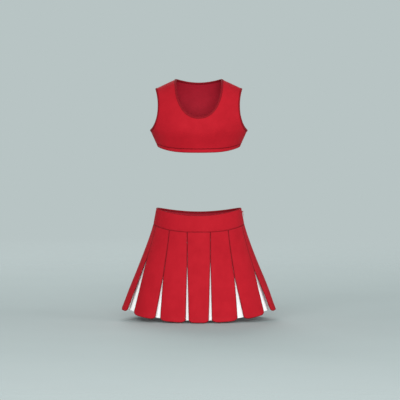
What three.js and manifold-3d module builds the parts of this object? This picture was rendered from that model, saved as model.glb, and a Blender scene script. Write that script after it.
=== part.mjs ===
// A two-piece cheer uniform: a sleeveless cropped top with a scoop neck, and a box-pleated skirt on a
// shaped yoke whose pleats open on white inserts. It is modelled in the shape it takes when it is worn.
// Millimetres, +Z up. The wearer faces -Y, so +X is the wearer's left. The origin is the middle of the
// waist opening, level with the top of the yoke at the side seams.
import * as THREE from "three";
import { mergeVertices } from "three/addons/utils/BufferGeometryUtils.js";
import Module from "manifold-3d";

const wasm = await Module();
wasm.setup();

// Cloth, and how its layers lie on each other
const OUTER_PLY = 1.4;
const LINING_PLY = 1;
const INTERFACING_PLY = 0.5;
const LAYER_GAP = 0.3;
const SEAM_GAP = 0.4;

// Skirt yoke
const WAIST_HALF_WIDTH = 140;
const WAIST_HALF_DEPTH = 100;
const WAIST_DIP = 19; // how much lower the waist edge is at the centre front and back than at the sides
const YOKE_SIDE_HEIGHT = 53.6;
const YOKE_SEAM_DIP = 18.6;
const SEAM_HALF_WIDTH = 150;
const SEAM_HALF_DEPTH = 110;

// Pleated part
const PANEL_LENGTH = 300;
const HEM_HALF_WIDTH = 254;
const HEM_HALF_DEPTH = 165;
const HIP_HOLLOW = 0.3; // how closely the skirt hangs to the hip before it flares
const PANEL_BULGE = 4;
const CORNER_RISE = 9; // how far a panel's hem rises towards its folded edges
const PLEAT_DEPTH_AT_SEAM = 2.4; // how far an insert lies behind the panels
const PLEAT_DEPTH_AT_HEM = 9;
const INSERT_TOP_HALF_WIDTH = 12;
const INSERT_HEM_RISE = 9;

// The pleat lines from the centre front to the side: their angles round the yoke seam and the hem, how
// far apart the two panels hang at the hem, where down the panel that gap begins, and how far the
// insert reaches under each panel at the hem. The back mirrors the front.
const PLEATS = [
  { place: "inner", seamAngle: 14.7, hemAngle: 8.6, hemGap: 9.5, opensAt: 0.36, underlap: 24 },
  { place: "middle", seamAngle: 40, hemAngle: 32.8, hemGap: 20.5, opensAt: 0.52, underlap: 28 },
  { place: "outer", seamAngle: 71.2, hemAngle: 62.6, hemGap: 27, opensAt: 0.48, underlap: 28 },
  { place: "side", seamAngle: 90, hemAngle: 90, hemGap: 24, opensAt: 0.45, underlap: 24 },
];

// Care label, in the right side seam of the yoke
const LABEL_WIDTH = 24;
const LABEL_LENGTH = 30;
const LABEL_PLY = 0.5;
const LABEL_DROP = 14; // from the waist edge to the label

// Zip, in the left side seam of the yoke. Distances down the seam start at the waist edge.
const ZIP_SLIT = 1.6;
const TAPE_START = 12.5;
const TAPE_WIDTH = 10;
const TAPE_PLY = 0.4;
const CHAIN_START = 15;
const CHAIN_END_MARGIN = 6.5; // from the last tooth to the yoke's lower edge
const CHAIN_THICKNESS = 1.4;
const CHAIN_SPINE = 0.8;
const TOOTH_REACH = 0.8; // how far a tooth stands out of its spine
const TOOTH_PITCH = 3;
const TOOTH_LENGTH = 1.4;
const STOP_LENGTH = 2;
const SLIDER_LENGTH = 8;
const SLIDER_PLATE = 0.8;
const SLIDER_NECK = 0.9;
const PIN_RADIUS = 0.5;
const PIN_PLAY = 0.25;
const TAB_LENGTH = 17;
const TAB_WIDTH = 3.4;
const TAB_THICKNESS = 1;
const TAB_RIM = 0.7; // metal round the tab's eye
const METAL_GAP = 0.3;
const WELD = 0.1; // how far joined blocks run into each other

// Hook and bar, above the zip
const HOOK_DROP = 2.5; // from the waist edge
const HOOK_HEIGHT = 6;
const HOOK_PLATE = 8;
const HOOK_PAD = 2; // the stretch of a plate that is sewn to the yoke
const HOOK_PLY = 0.7;
const HOOK_REACH = 4; // past the middle of the slit
const BAR_WIRE = 1;
const BAR_STAND = 0.5; // between the bar and the yoke side of its plate

// Cropped top
const ARMPIT_Z = 256;
const TOP_HEM_Z = 200.5; // at the side seams
const TOP_FRONT_DIP = 13.7;
const TOP_BACK_DIP = 8;
const TOP_HEM_HALF_WIDTH = 135;
const CHEST_HALF_WIDTH = 160;
const SHOULDER_GAIN = 12; // how much wider than at the chest the body under the shoulders is
const HEM_FRONT_DEPTH = 98;
const CHEST_FRONT_DEPTH = 118;
const HEM_BACK_DEPTH = 92;
const CHEST_BACK_DEPTH = 98;
const CHEST_RISE = 75; // height over which the depth grows from hem to chest
const RIDGE_TOP_Z = 446.8; // where the two shoulder lines would meet over the neck
const RIDGE_SLOPE = 0.5;
const RIDGE_ROUNDING = 40;
const NECK_HALF_WIDTH = 75.6;
const NECK_SQUARENESS = 2.2;
const FRONT_NECK_Z = 305;
const BACK_NECK_DIP = 14.4;
const SHOULDER_TIP_X = 142;
const ARMHOLE_LOW_PULL = { inwards: 23, up: 16 }; // how the armhole sets out from the armpit
const ARMHOLE_HIGH_PULL = { inwards: 17, down: 47.6 }; // and how it reaches the shoulder tip
const BAND_HEIGHT = 12;
const BAND_PLY = 0.8;
const ELASTIC_PLY = 0.5;
const ELASTIC_INSET = 1.5; // from the band's fold and from its open edge
const BINDING_WIDTH = 4.5;
const BINDING_PLY = 0.9;
const BINDING_ROOM = 0.75; // between a binding's plies and the cloth they are folded over
const STAY_WIDTH = 6;
const STAY_PLY = 0.6;
const STAY_ROOM = 1; // under the shoulder seam, where the cloth curves down on both sides

// Facets
const PANEL_COLUMNS = 5;
const PANEL_ROWS = 6;
const INSERT_COLUMNS = 4;
const YOKE_COLUMNS = 36;
const BODICE_COLUMNS = 7;
const BODICE_ROWS = 14;
const NECK_ROWS = { front: 8, back: 4 }; // how many of the bodice's rows end on the neckline
const ARMHOLE_ROWS = 11;
const PIN_SIDES = 12;

const QUARTER = Math.PI / 2;
const NUDGE = 1e-4; // small step for slopes
const { lerp, degToRad, smoothstep } = THREE.MathUtils;
const steps = (count) => Array.from({ length: count + 1 }, (_, i) => i / count);
const vector = (x, y, z) => new THREE.Vector3(x, y, z);

// ---------------------------------------------------------------------------------------- materials

const cloth = (color) => new THREE.MeshStandardMaterial({ color, roughness: 0.85, metalness: 0 });
const RED = cloth(0xbf1e2e);
const RED_LINING = cloth(0xa11c2d);
const WHITE = cloth(0xf4f4f2);
const STIFFENER = cloth(0xe8e4dc);
const ELASTIC = cloth(0xf0f0ee);
const ZIP_PLASTIC = new THREE.MeshStandardMaterial({ color: 0xb01c2b, roughness: 0.5, metalness: 0 });
const ZIP_METAL = new THREE.MeshStandardMaterial({ color: 0xc4c6c9, roughness: 0.3, metalness: 0.9 });

// ---------------------------------------------------------------------------------------- surfaces

// The direction square to a surface at (p, q). It points out of the garment where q runs down it as p
// runs towards the wearer's left across the front, and `side` is -1 where it would point in.
function normalAt(surface, p, q, side = 1) {
  const alongP = surface(p + NUDGE, q).sub(surface(p - NUDGE, q));
  const alongQ = surface(p, q + NUDGE).sub(surface(p, q - NUDGE));
  return alongQ.cross(alongP).normalize().multiplyScalar(side);
}

// A grid of points and normals, from at(column, row), with each cell cut along its shorter diagonal.
function gridOf(columns, rows, at) {
  const cells = rows.flatMap((row) => columns.map((column) => at(column, row)));
  const points = cells.map(({ point }) => point);
  const normals = cells.map(({ normal }) => normal);
  const faces = [];
  for (let r = 1; r < rows.length; r += 1) {
    for (let c = 1; c < columns.length; c += 1) {
      const d = r * columns.length + c;
      const [a, b, e] = [d - columns.length - 1, d - columns.length, d - 1];
      if (points[a].distanceTo(points[d]) < points[b].distanceTo(points[e])) {
        faces.push([a, b, d], [a, d, e]);
      } else {
        faces.push([a, b, e], [b, d, e]);
      }
    }
  }
  return { points, normals, faces };
}

function surfaceGrid(surface, columns, rows) {
  return gridOf(columns, rows, (p, q) => ({ point: surface(p, q), normal: normalAt(surface, p, q) }));
}

const acrossCentre = (v) => vector(-v.x, v.y, v.z);

// Half a grid and its mirror image, joined where they meet on the centre line.
function withMirror({ points, normals, faces }) {
  const whole = { points: [], normals: [], faces: [] };
  const placeOf = new Map();
  const indexOf = (point, normal) => {
    const key = point.toArray().map((x) => Math.round(x / NUDGE) + 0).join();
    if (!placeOf.has(key)) {
      placeOf.set(key, whole.points.length);
      whole.points.push(point);
      whole.normals.push(normal);
    }
    return placeOf.get(key);
  };
  const own = points.map((point, i) => indexOf(point, normals[i]));
  const other = points.map((point, i) => indexOf(acrossCentre(point), acrossCentre(normals[i])));
  for (const [a, b, c] of faces) {
    whole.faces.push([own[a], own[b], own[c]], [other[a], other[c], other[b]]);
  }
  return whole;
}

// ---------------------------------------------------------------------------------------- solids

// A closed geometry from shared vertices and triangles, turned so that its faces point out.
function closedGeometry(vertices, triangles) {
  let volume = 0;
  for (const [a, b, c] of triangles) {
    volume += vertices[a].dot(vector(0, 0, 0).crossVectors(vertices[b], vertices[c]));
  }
  const outwards = volume < 0 ? triangles.map(([a, b, c]) => [a, c, b]) : triangles;
  return new THREE.BufferGeometry().setFromPoints(vertices).setIndex(outwards.flat());
}

// A layer of cloth between two distances from a grid's surface, closed round the grid's edges.
function layer({ points, normals, faces }, outer, inner) {
  const count = points.length;
  const at = (distance) => points.map((point, i) => point.clone().addScaledVector(normals[i], distance));
  const triangles = [];
  const edges = new Set();
  for (const [a, b, c] of faces) {
    triangles.push([a, b, c], [a + count, c + count, b + count]);
    for (const edge of [[a, b], [b, c], [c, a]]) {
      edges.add(edge.join());
    }
  }
  for (const edge of edges) {
    const [p, q] = edge.split(",").map(Number);
    if (!edges.has([q, p].join())) {
      triangles.push([q, p, p + count], [q, p + count, q + count]);
    }
  }
  return closedGeometry([...at(outer), ...at(inner)], triangles);
}

// The triangles that close one end of a sweep, in the order of its section's outline.
function endTriangles(section) {
  const outline = section.map(([u, w]) => new THREE.Vector2(u, w));
  const faces = THREE.ShapeUtils.triangulateShape(outline, []);
  return THREE.ShapeUtils.isClockWise(outline) ? faces.map(([a, b, c]) => [a, c, b]) : faces;
}

// A section of [across, out] points carried along frames of { point, across, out }. A loop closes on
// itself, and anything else is closed at both ends.
function sweep(frames, section, isLoop) {
  const size = section.length;
  const vertices = frames.flatMap(({ point, across, out }) =>
    section.map(([u, w]) => point.clone().addScaledVector(across, u).addScaledVector(out, w)),
  );
  const triangles = [];
  for (let i = 0; i < frames.length - (isLoop ? 0 : 1); i += 1) {
    const here = i * size;
    const next = ((i + 1) % frames.length) * size;
    for (let j = 0; j < size; j += 1) {
      const k = (j + 1) % size;
      triangles.push([here + j, here + k, next + k], [here + j, next + k, next + j]);
    }
  }
  if (!isLoop) {
    const lastRing = vertices.length - size;
    for (const [a, b, c] of endTriangles(section)) {
      triangles.push([c, b, a], [a + lastRing, b + lastRing, c + lastRing]);
    }
  }
  return closedGeometry(vertices, triangles);
}

function boxBetween([x0, y0, z0], [x1, y1, z1]) {
  const size = [Math.abs(x1 - x0), Math.abs(y1 - y0), Math.abs(z1 - z0)];
  return new THREE.BoxGeometry(...size).translate((x0 + x1) / 2, (y0 + y1) / 2, (z0 + z1) / 2);
}

function asManifold(geometry) {
  const bare = geometry.clone();
  bare.deleteAttribute("normal");
  bare.deleteAttribute("uv");
  const { attributes, index } = mergeVertices(bare, NUDGE);
  const vertProperties = attributes.position.array;
  const triVerts = new Uint32Array(index.array);
  return new wasm.Manifold(new wasm.Mesh({ numProp: 3, vertProperties, triVerts }));
}

function joined(geometries) {
  const whole = geometries.map(asManifold).reduce((sum, solid) => sum.add(solid));
  const { vertProperties, triVerts } = whole.getMesh();
  return new THREE.BufferGeometry()
    .setAttribute("position", new THREE.BufferAttribute(vertProperties, 3))
    .setIndex(new THREE.BufferAttribute(triVerts, 1));
}

function addPiece(group, name, geometry, material) {
  const mesh = new THREE.Mesh(geometry, material);
  mesh.name = name;
  group.add(mesh);
  return mesh;
}

// ---------------------------------------------------------------------------------------- skirt shape

// 1 at the centre front and back and 0 at the sides, flatter in the middle for a higher power.
const dip = (angle, power) => 1 - Math.abs(Math.sin(angle)) ** power;

const onEllipse = (halfWidth, halfDepth, angle, z) =>
  vector(halfWidth * Math.sin(angle), -halfDepth * Math.cos(angle), z);

const seamHeight = (angle) => -(YOKE_SIDE_HEIGHT + YOKE_SEAM_DIP * dip(angle, 3));

// The yoke's outer face: the angle from the centre front towards the wearer's left, and v from 0 at the
// waist edge to 1 at the yoke seam.
function yokeSurface(angle, v) {
  const halfWidth = lerp(WAIST_HALF_WIDTH, SEAM_HALF_WIDTH, v);
  const halfDepth = lerp(WAIST_HALF_DEPTH, SEAM_HALF_DEPTH, v);
  return onEllipse(halfWidth, halfDepth, angle, lerp(-WAIST_DIP * dip(angle, 2), seamHeight(angle), v));
}

// The surface that the pleats hang on, v from 0 at the yoke seam to 1 at the hem.
const hang = (v) => v - HIP_HOLLOW * v * (1 - v) ** 3;
const skirtHalfWidth = (v) => lerp(SEAM_HALF_WIDTH, HEM_HALF_WIDTH, hang(v));
const skirtHalfDepth = (v) => lerp(SEAM_HALF_DEPTH, HEM_HALF_DEPTH, hang(v));

function skirtSurface(angle, v) {
  const sideways = (HEM_HALF_WIDTH - SEAM_HALF_WIDTH) * Math.sin(angle);
  const forwards = (HEM_HALF_DEPTH - SEAM_HALF_DEPTH) * Math.cos(angle);
  const drop = Math.sqrt(PANEL_LENGTH ** 2 - sideways ** 2 - forwards ** 2);
  return onEllipse(skirtHalfWidth(v), skirtHalfDepth(v), angle, seamHeight(angle) - v * drop);
}

// A distance round the skirt as an angle of its ellipse.
const girthAsAngle = (distance, angle, v) =>
  distance / Math.hypot(skirtHalfWidth(v) * Math.cos(angle), skirtHalfDepth(v) * Math.sin(angle));

// A pleat line's angle at v, which keeps the line straight when it is seen from the front.
const straightPleat = ({ seamAngle, hemAngle }) => (v) => {
  const seamX = SEAM_HALF_WIDTH * Math.sin(degToRad(seamAngle));
  const hemX = HEM_HALF_WIDTH * Math.sin(degToRad(hemAngle));
  return Math.asin(Math.min(1, lerp(seamX, hemX, hang(v)) / skirtHalfWidth(v)));
};

// Every pleat line round the skirt, from the centre front by the wearer's left to the centre front.
function allPleats() {
  const frontToSide = PLEATS.map((pleat) => ({
    ...pleat,
    name: pleat.place === "side" ? "side_left" : `front_left_${pleat.place}`,
    angle: straightPleat(pleat),
  }));
  const sideToBack = frontToSide
    .slice(0, -1)
    .reverse()
    .map((pleat) => ({
      ...pleat,
      name: pleat.name.replace("front", "back"),
      angle: (v) => Math.PI - pleat.angle(v),
    }));
  const left = [...frontToSide, ...sideToBack];
  const right = [...left].reverse().map((pleat) => ({
    ...pleat,
    name: pleat.name.replace("left", "right"),
    angle: (v) => 2 * Math.PI - pleat.angle(v),
  }));
  return [...left, ...right];
}

// The panels in the same order, the first one lying before the first pleat line.
function allPanelNames() {
  const frontLeft = ["front_left_inner", "front_left_outer", "side_left_front"];
  const backLeft = [...frontLeft].reverse().map((name) => name.replace("front", "back"));
  const left = [...frontLeft, ...backLeft];
  const right = [...left].reverse().map((name) => name.replace("left", "right"));
  return ["front_center", ...left, "back_center", ...right];
}

// How far a panel's fold lies from its pleat line, at v.
function halfGap({ hemGap, opensAt }, v) {
  const opened = Math.max(0, v - opensAt) / (1 - opensAt);
  return (SEAM_GAP + opened * hemGap) / 2;
}

// A panel's outer face between two pleat lines, u across it and v down it.
const panelSurface = (before, after) => (u, v) => {
  const fromMiddle = 2 * u - 1;
  const down = v * (1 - (CORNER_RISE / PANEL_LENGTH) * fromMiddle ** 6);
  const [start, end] = [before.angle(down), after.angle(down)];
  const first = start + girthAsAngle(halfGap(before, down), start, down);
  const last = end - girthAsAngle(halfGap(after, down), end, down);
  const angle = lerp(first, last, u);
  const out = normalAt(skirtSurface, angle, down);
  return skirtSurface(angle, down).addScaledVector(out, PANEL_BULGE * v * (1 - fromMiddle ** 2));
};

const seamNormal = (angle) => normalAt(yokeSurface, angle, 1);

// An insert's outer face behind its pleat line, u from -1 to 1 across it and v down it. It hangs from
// behind the yoke's lining.
const insertSurface = (pleat) => (u, v) => {
  const down = v * (1 - INSERT_HEM_RISE / PANEL_LENGTH);
  const middle = pleat.angle(down);
  const halfWidth = lerp(INSERT_TOP_HALF_WIDTH, pleat.hemGap / 2 + pleat.underlap, v);
  const angle = middle + girthAsAngle(u * halfWidth, middle, down);
  const behind = OUTER_PLY + lerp(PLEAT_DEPTH_AT_SEAM, PLEAT_DEPTH_AT_HEM, v);
  const out = seamNormal(angle).lerp(normalAt(skirtSurface, angle, down), v).normalize();
  return skirtSurface(angle, down).addScaledVector(out, -behind);
};

// A panel's or an insert's grid. Its top edge is cut square to the yoke, so that the two edges match.
function pleatGrid(surface, columns) {
  return gridOf(columns, steps(PANEL_ROWS), (u, v) => {
    const point = surface(u, v);
    const seamAngle = Math.atan2(point.x / SEAM_HALF_WIDTH, -point.y / SEAM_HALF_DEPTH);
    return { point, normal: v === 0 ? seamNormal(seamAngle) : normalAt(surface, u, v) };
  });
}

// ---------------------------------------------------------------------------------------- skirt

const skirt = new THREE.Group();

function addPleats() {
  const pleats = allPleats();
  const lastTurnedBack = { ...pleats.at(-1), angle: (v) => pleats.at(-1).angle(v) - 2 * Math.PI };
  allPanelNames().forEach((name, i) => {
    const surface = panelSurface(i === 0 ? lastTurnedBack : pleats[i - 1], pleats[i]);
    const grid = pleatGrid(surface, steps(PANEL_COLUMNS));
    addPiece(skirt, `panel_${name}`, layer(grid, 0, -OUTER_PLY), RED);
  });
  for (const pleat of pleats) {
    const columns = steps(INSERT_COLUMNS).map((s) => 2 * s - 1);
    const grid = pleatGrid(insertSurface(pleat), columns);
    addPiece(skirt, `insert_${pleat.name}`, layer(grid, 0, -LINING_PLY), WHITE);
  }
}

// How deep each layer of the yoke lies under its outer face.
const interfacingDepth = OUTER_PLY + LAYER_GAP;
const yokeLiningDepth = interfacingDepth + INTERFACING_PLY + LAYER_GAP;
const yokeDepth = yokeLiningDepth + LINING_PLY;
const yokeBottom = 1 - SEAM_GAP / YOKE_SIDE_HEIGHT;

// The yoke's angle at a distance from the left side seam towards the wearer's back.
const besideSeam = (distance, v) => QUARTER + distance / lerp(WAIST_HALF_DEPTH, SEAM_HALF_DEPTH, v);

function addYokeHalf(half) {
  const zipEdge = besideSeam(-ZIP_SLIT / 2, 0);
  const plainEdge = -besideSeam(-SEAM_GAP / 2, 0);
  const [first, last] = half === "front" ? [plainEdge, zipEdge] : [Math.PI - zipEdge, Math.PI - plainEdge];
  const columns = steps(YOKE_COLUMNS).map((s) => lerp(first, last, s));
  const grid = surfaceGrid(yokeSurface, columns, [0, yokeBottom]);
  const ply = (depth, thickness) => layer(grid, -depth, -depth - thickness);
  addPiece(skirt, `yoke_${half}`, ply(0, OUTER_PLY), RED);
  addPiece(skirt, `yoke_interfacing_${half}`, ply(interfacingDepth, INTERFACING_PLY), STIFFENER);
  addPiece(skirt, `yoke_lining_${half}`, ply(yokeLiningDepth, LINING_PLY), RED_LINING);
}

function addCareLabel() {
  const halfAngle = LABEL_WIDTH / 2 / WAIST_HALF_DEPTH;
  const columns = [-1, 0, 1].map((side) => 3 * QUARTER + side * halfAngle);
  const rows = [LABEL_DROP, LABEL_DROP + LABEL_LENGTH].map((down) => down / YOKE_SIDE_HEIGHT);
  const outer = -yokeDepth - 2 * LAYER_GAP;
  const label = layer(surfaceGrid(yokeSurface, columns, rows), outer, outer - LABEL_PLY);
  addPiece(skirt, "care_label", label, WHITE);
}

// ---------------------------------------------------------------------------------------- zip

// The zip's pieces are drawn in a group of their own: x towards the wearer's back, y up the side seam
// from 0 at the waist edge, and z out of the garment from 0 on the yoke's outer face.
const zip = new THREE.Group();
const waistSide = vector(WAIST_HALF_WIDTH, 0, 0);
const upTheSeam = waistSide.clone().sub(vector(SEAM_HALF_WIDTH, 0, -YOKE_SIDE_HEIGHT));
const seamLength = upTheSeam.length();
upTheSeam.normalize();
const toTheBack = vector(0, 1, 0);
const outOfTheSeam = toTheBack.clone().cross(upTheSeam);
zip.applyMatrix4(new THREE.Matrix4().makeBasis(toTheBack, upTheSeam, outOfTheSeam).setPosition(waistSide));
skirt.add(zip);

const slitHalf = ZIP_SLIT / 2;
const chainEnd = seamLength - CHAIN_END_MARGIN;
const tapeOuter = -yokeDepth - LAYER_GAP;
const chainOuter = tapeOuter - TAPE_PLY - METAL_GAP;
const chainInner = chainOuter - CHAIN_THICKNESS;
const spineInner = slitHalf + TOOTH_REACH;
const chainHalf = spineInner + CHAIN_SPINE;

// One side of the chain: a spine with a comb of teeth, the first one `shift` from the lower end.
function chainShape(shift) {
  const outline = new THREE.Shape();
  outline.moveTo(chainHalf, -CHAIN_START);
  outline.lineTo(chainHalf, -chainEnd);
  outline.lineTo(spineInner, -chainEnd);
  for (let y = shift + TOOTH_LENGTH - chainEnd; y < -CHAIN_START - TOOTH_LENGTH; y += TOOTH_PITCH) {
    outline.lineTo(spineInner, y - TOOTH_LENGTH / 2);
    outline.lineTo(slitHalf, y - TOOTH_LENGTH / 2);
    outline.lineTo(slitHalf, y + TOOTH_LENGTH / 2);
    outline.lineTo(spineInner, y + TOOTH_LENGTH / 2);
  }
  outline.lineTo(spineInner, -CHAIN_START);
  return outline;
}

// The tape and teeth on one side of the slit, `side` being -1 at the front. The two rows of teeth are
// half a pitch apart.
function addZipSide(half, side) {
  const tapeSurface = (distance, v) => yokeSurface(besideSeam(distance, v), v);
  const columns = steps(3).map((s) => side * lerp(slitHalf, slitHalf + TAPE_WIDTH, s));
  const rows = [TAPE_START / seamLength, yokeBottom];
  const tape = layer(surfaceGrid(tapeSurface, columns, rows), tapeOuter, tapeOuter - TAPE_PLY);
  addPiece(skirt, `zip_tape_${half}`, tape, RED_LINING);
  const shape = chainShape(side < 0 ? 0 : TOOTH_PITCH / 2);
  const teeth = new THREE.ExtrudeGeometry(shape, { depth: CHAIN_THICKNESS, bevelEnabled: false });
  addPiece(zip, `zip_teeth_${half}`, teeth.translate(0, 0, chainInner), ZIP_PLASTIC).scale.x = side;
}

const sliderTop = SLIDER_LENGTH / 2 - CHAIN_START;
const sliderLow = sliderTop - SLIDER_LENGTH;
const crownHigh = METAL_GAP + SLIDER_PLATE;
const eyeRadius = PIN_RADIUS + PIN_PLAY + TAB_RIM;
const pinHeight = crownHigh + METAL_GAP + eyeRadius;
const pinY = sliderTop - eyeRadius - METAL_GAP;

// The slider: a channel round the chain inside, a neck through the slit, and a crown outside whose two
// ears hold the tab's pin.
function addSlider() {
  const channelInner = chainInner - METAL_GAP;
  const channelHalf = chainHalf + METAL_GAP;
  const wallHalf = channelHalf + SLIDER_PLATE;
  const earInner = TAB_WIDTH / 2 + METAL_GAP;
  const earOuter = earInner + SLIDER_PLATE;
  const neck = SLIDER_NECK / 2;
  const pieces = [
    boxBetween([-wallHalf, sliderLow, channelInner - SLIDER_PLATE], [wallHalf, sliderTop, channelInner]),
    boxBetween([-neck, sliderLow + 1, channelInner - WELD], [neck, sliderTop - 1, METAL_GAP + WELD]),
    boxBetween([-earOuter, sliderLow, METAL_GAP], [earOuter, sliderTop, crownHigh]),
    new THREE.CylinderGeometry(PIN_RADIUS, PIN_RADIUS, 2 * earInner + SLIDER_PLATE, PIN_SIDES)
      .rotateZ(QUARTER)
      .translate(0, pinY, pinHeight),
  ];
  for (const side of [-1, 1]) {
    const [wallX, wallEndX] = [side * channelHalf, side * wallHalf];
    const [earX, earEndX] = [side * earInner, side * earOuter];
    const [earLow, earHigh] = [pinY - eyeRadius, pinY + eyeRadius];
    pieces.push(
      boxBetween([wallX, sliderLow, channelInner - WELD], [wallEndX, sliderTop, chainOuter]),
      boxBetween([earX, earLow, crownHigh - WELD], [earEndX, earHigh, pinHeight + eyeRadius]),
    );
  }
  addPiece(zip, "zip_slider", joined(pieces), ZIP_METAL);
}

// The pull tab, drawn from the side: an eye round the slider's pin and a flat tongue below it.
function addPullTab() {
  const half = TAB_THICKNESS / 2;
  const join = Math.asin(half / eyeRadius);
  const outline = new THREE.Shape();
  outline.absarc(0, 0, eyeRadius, join - QUARTER, 3 * QUARTER - join, false);
  outline.lineTo(-half, -TAB_LENGTH);
  outline.lineTo(half, -TAB_LENGTH);
  const eye = new THREE.Path();
  eye.absarc(0, 0, PIN_RADIUS + PIN_PLAY, 0, 2 * Math.PI, true);
  outline.holes.push(eye);
  const options = { depth: TAB_WIDTH, bevelEnabled: false, curveSegments: PIN_SIDES };
  const tab = new THREE.ExtrudeGeometry(outline, options);
  tab.translate(0, 0, -TAB_WIDTH / 2).rotateY(QUARTER);
  addPiece(zip, "zip_pull_tab", tab, ZIP_METAL).position.set(0, pinY, pinHeight);
}

function addBottomStop() {
  const top = -chainEnd - METAL_GAP;
  const stop = boxBetween([-chainHalf, top - STOP_LENGTH, chainInner], [chainHalf, top, chainOuter]);
  addPiece(zip, "zip_bottom_stop", stop, ZIP_METAL);
}

// The yoke curves in behind the hook's and the bar's flat plates, so these lie that much deeper.
const plateEnd = slitHalf + HOOK_PLATE;
const sideRadius = WAIST_HALF_DEPTH ** 2 / WAIST_HALF_WIDTH;
const padOuter = -yokeDepth - METAL_GAP - plateEnd ** 2 / (2 * sideRadius);
const barOuter = padOuter - BAR_STAND;
const barInner = barOuter - BAR_WIRE;
const [hookLow, hookHigh] = [-HOOK_DROP - HOOK_HEIGHT, -HOOK_DROP];

// The hook, on the front edge, reaches across the slit behind the bar and turns up past it.
function addHook() {
  const tongue = barInner - METAL_GAP;
  const padX = HOOK_PAD - plateEnd;
  const tipX = HOOK_REACH - HOOK_PLY;
  const pieces = [
    boxBetween([-plateEnd, hookLow, tongue - HOOK_PLY], [HOOK_REACH, hookHigh, tongue]),
    boxBetween([-plateEnd, hookLow, tongue - WELD], [padX, hookHigh, padOuter]),
    boxBetween([tipX, hookLow + 1, tongue - WELD], [HOOK_REACH, hookHigh - 1, barOuter]),
  ];
  addPiece(zip, "waist_hook", joined(pieces), ZIP_METAL);
}

// The bar, on the back edge: a wire loop that the hook's tip goes through, on a sewn pad.
function addBar() {
  const nearX = slitHalf + BAR_WIRE / 2;
  const wire = (x0, y0, x1, y1) => boxBetween([x0, y0, barInner], [x1, y1, barOuter]);
  const pieces = [
    wire(nearX, hookLow, nearX + BAR_WIRE, hookHigh),
    wire(nearX, hookLow, plateEnd, hookLow + BAR_WIRE),
    wire(nearX, hookHigh - BAR_WIRE, plateEnd, hookHigh),
    boxBetween([plateEnd - HOOK_PAD, hookLow, barInner], [plateEnd, hookHigh, padOuter]),
  ];
  addPiece(zip, "waist_bar", joined(pieces), ZIP_METAL);
}

// ---------------------------------------------------------------------------------------- top shape

// The height of the line over the shoulders where the front meets the back.
const ridgeHeight = (x) => RIDGE_TOP_Z - RIDGE_SLOPE * (Math.hypot(x, RIDGE_ROUNDING) - RIDGE_ROUNDING);

// Half the width of the body that the top is shaped on.
function bodyHalfWidth(z) {
  const sideSlope = (CHEST_HALF_WIDTH - TOP_HEM_HALF_WIDTH) / (ARMPIT_Z - TOP_HEM_Z);
  const above = z - ARMPIT_Z;
  if (above < 0) {
    return CHEST_HALF_WIDTH + sideSlope * above;
  }
  return CHEST_HALF_WIDTH + SHOULDER_GAIN * (1 - Math.exp((-sideSlope * above) / SHOULDER_GAIN));
}

const DEPTHS = {
  front: { atHem: HEM_FRONT_DEPTH, atChest: CHEST_FRONT_DEPTH },
  back: { atHem: HEM_BACK_DEPTH, atChest: CHEST_BACK_DEPTH },
};

function bodyDepth(half, z) {
  const lowest = TOP_HEM_Z - TOP_FRONT_DIP;
  const { atHem, atChest } = DEPTHS[half];
  return lerp(atHem, atChest, smoothstep(z, lowest, lowest + CHEST_RISE));
}

const outwards = (half) => (half === "front" ? -1 : 1);

// The top's outer face. `round` is 0 at the centre and a quarter turn at the side seam. `over` is
// negative below the armpits, 0 at their height and a quarter turn on the shoulder line.
const torsoSurface = (half) => (round, over) => {
  const rise = over > 0 ? Math.sin(over) : over;
  const thinning = over > 0 ? Math.cos(over) : 1;
  let x = 0;
  let z = ARMPIT_Z;
  for (let i = 0; i < 16; i += 1) {
    z = ARMPIT_Z + rise * (ridgeHeight(x) - ARMPIT_Z);
    x = bodyHalfWidth(z) * Math.sin(round);
  }
  return vector(x, outwards(half) * bodyDepth(half, z) * Math.cos(round) * thinning, z);
};

// Where the torso surface's point at (x, z) lies.
function onTorso(x, z) {
  const rise = (z - ARMPIT_Z) / (ridgeHeight(x) - ARMPIT_Z);
  return {
    round: Math.asin(Math.min(1, x / bodyHalfWidth(z))),
    over: rise > 0 ? Math.asin(Math.min(1, rise)) : rise,
  };
}

const neckTopZ = ridgeHeight(NECK_HALF_WIDTH);

// The neckline from its lowest point to the shoulder, s from 0 to 1.
const necklines = {
  front: (s) => {
    const power = 2 / NECK_SQUARENESS;
    const x = NECK_HALF_WIDTH * Math.sin(s * QUARTER) ** power;
    return onTorso(x, neckTopZ - (neckTopZ - FRONT_NECK_Z) * Math.cos(s * QUARTER) ** power);
  },
  back: (s) => onTorso(NECK_HALF_WIDTH * s, neckTopZ - BACK_NECK_DIP * (1 - s * s)),
};

const shoulderTipZ = ridgeHeight(SHOULDER_TIP_X);
const armholeCurve = new THREE.CubicBezierCurve(
  new THREE.Vector2(CHEST_HALF_WIDTH, ARMPIT_Z),
  new THREE.Vector2(CHEST_HALF_WIDTH - ARMHOLE_LOW_PULL.inwards, ARMPIT_Z + ARMHOLE_LOW_PULL.up),
  new THREE.Vector2(SHOULDER_TIP_X - ARMHOLE_HIGH_PULL.inwards, shoulderTipZ - ARMHOLE_HIGH_PULL.down),
  new THREE.Vector2(SHOULDER_TIP_X, shoulderTipZ),
);

// The armhole from the armpit to the shoulder tip, s from 0 to 1.
function armhole(s) {
  const { x, y } = armholeCurve.getPoint(s);
  return s < 1 ? onTorso(x, y) : { ...onTorso(x, y), over: QUARTER };
}

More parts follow.
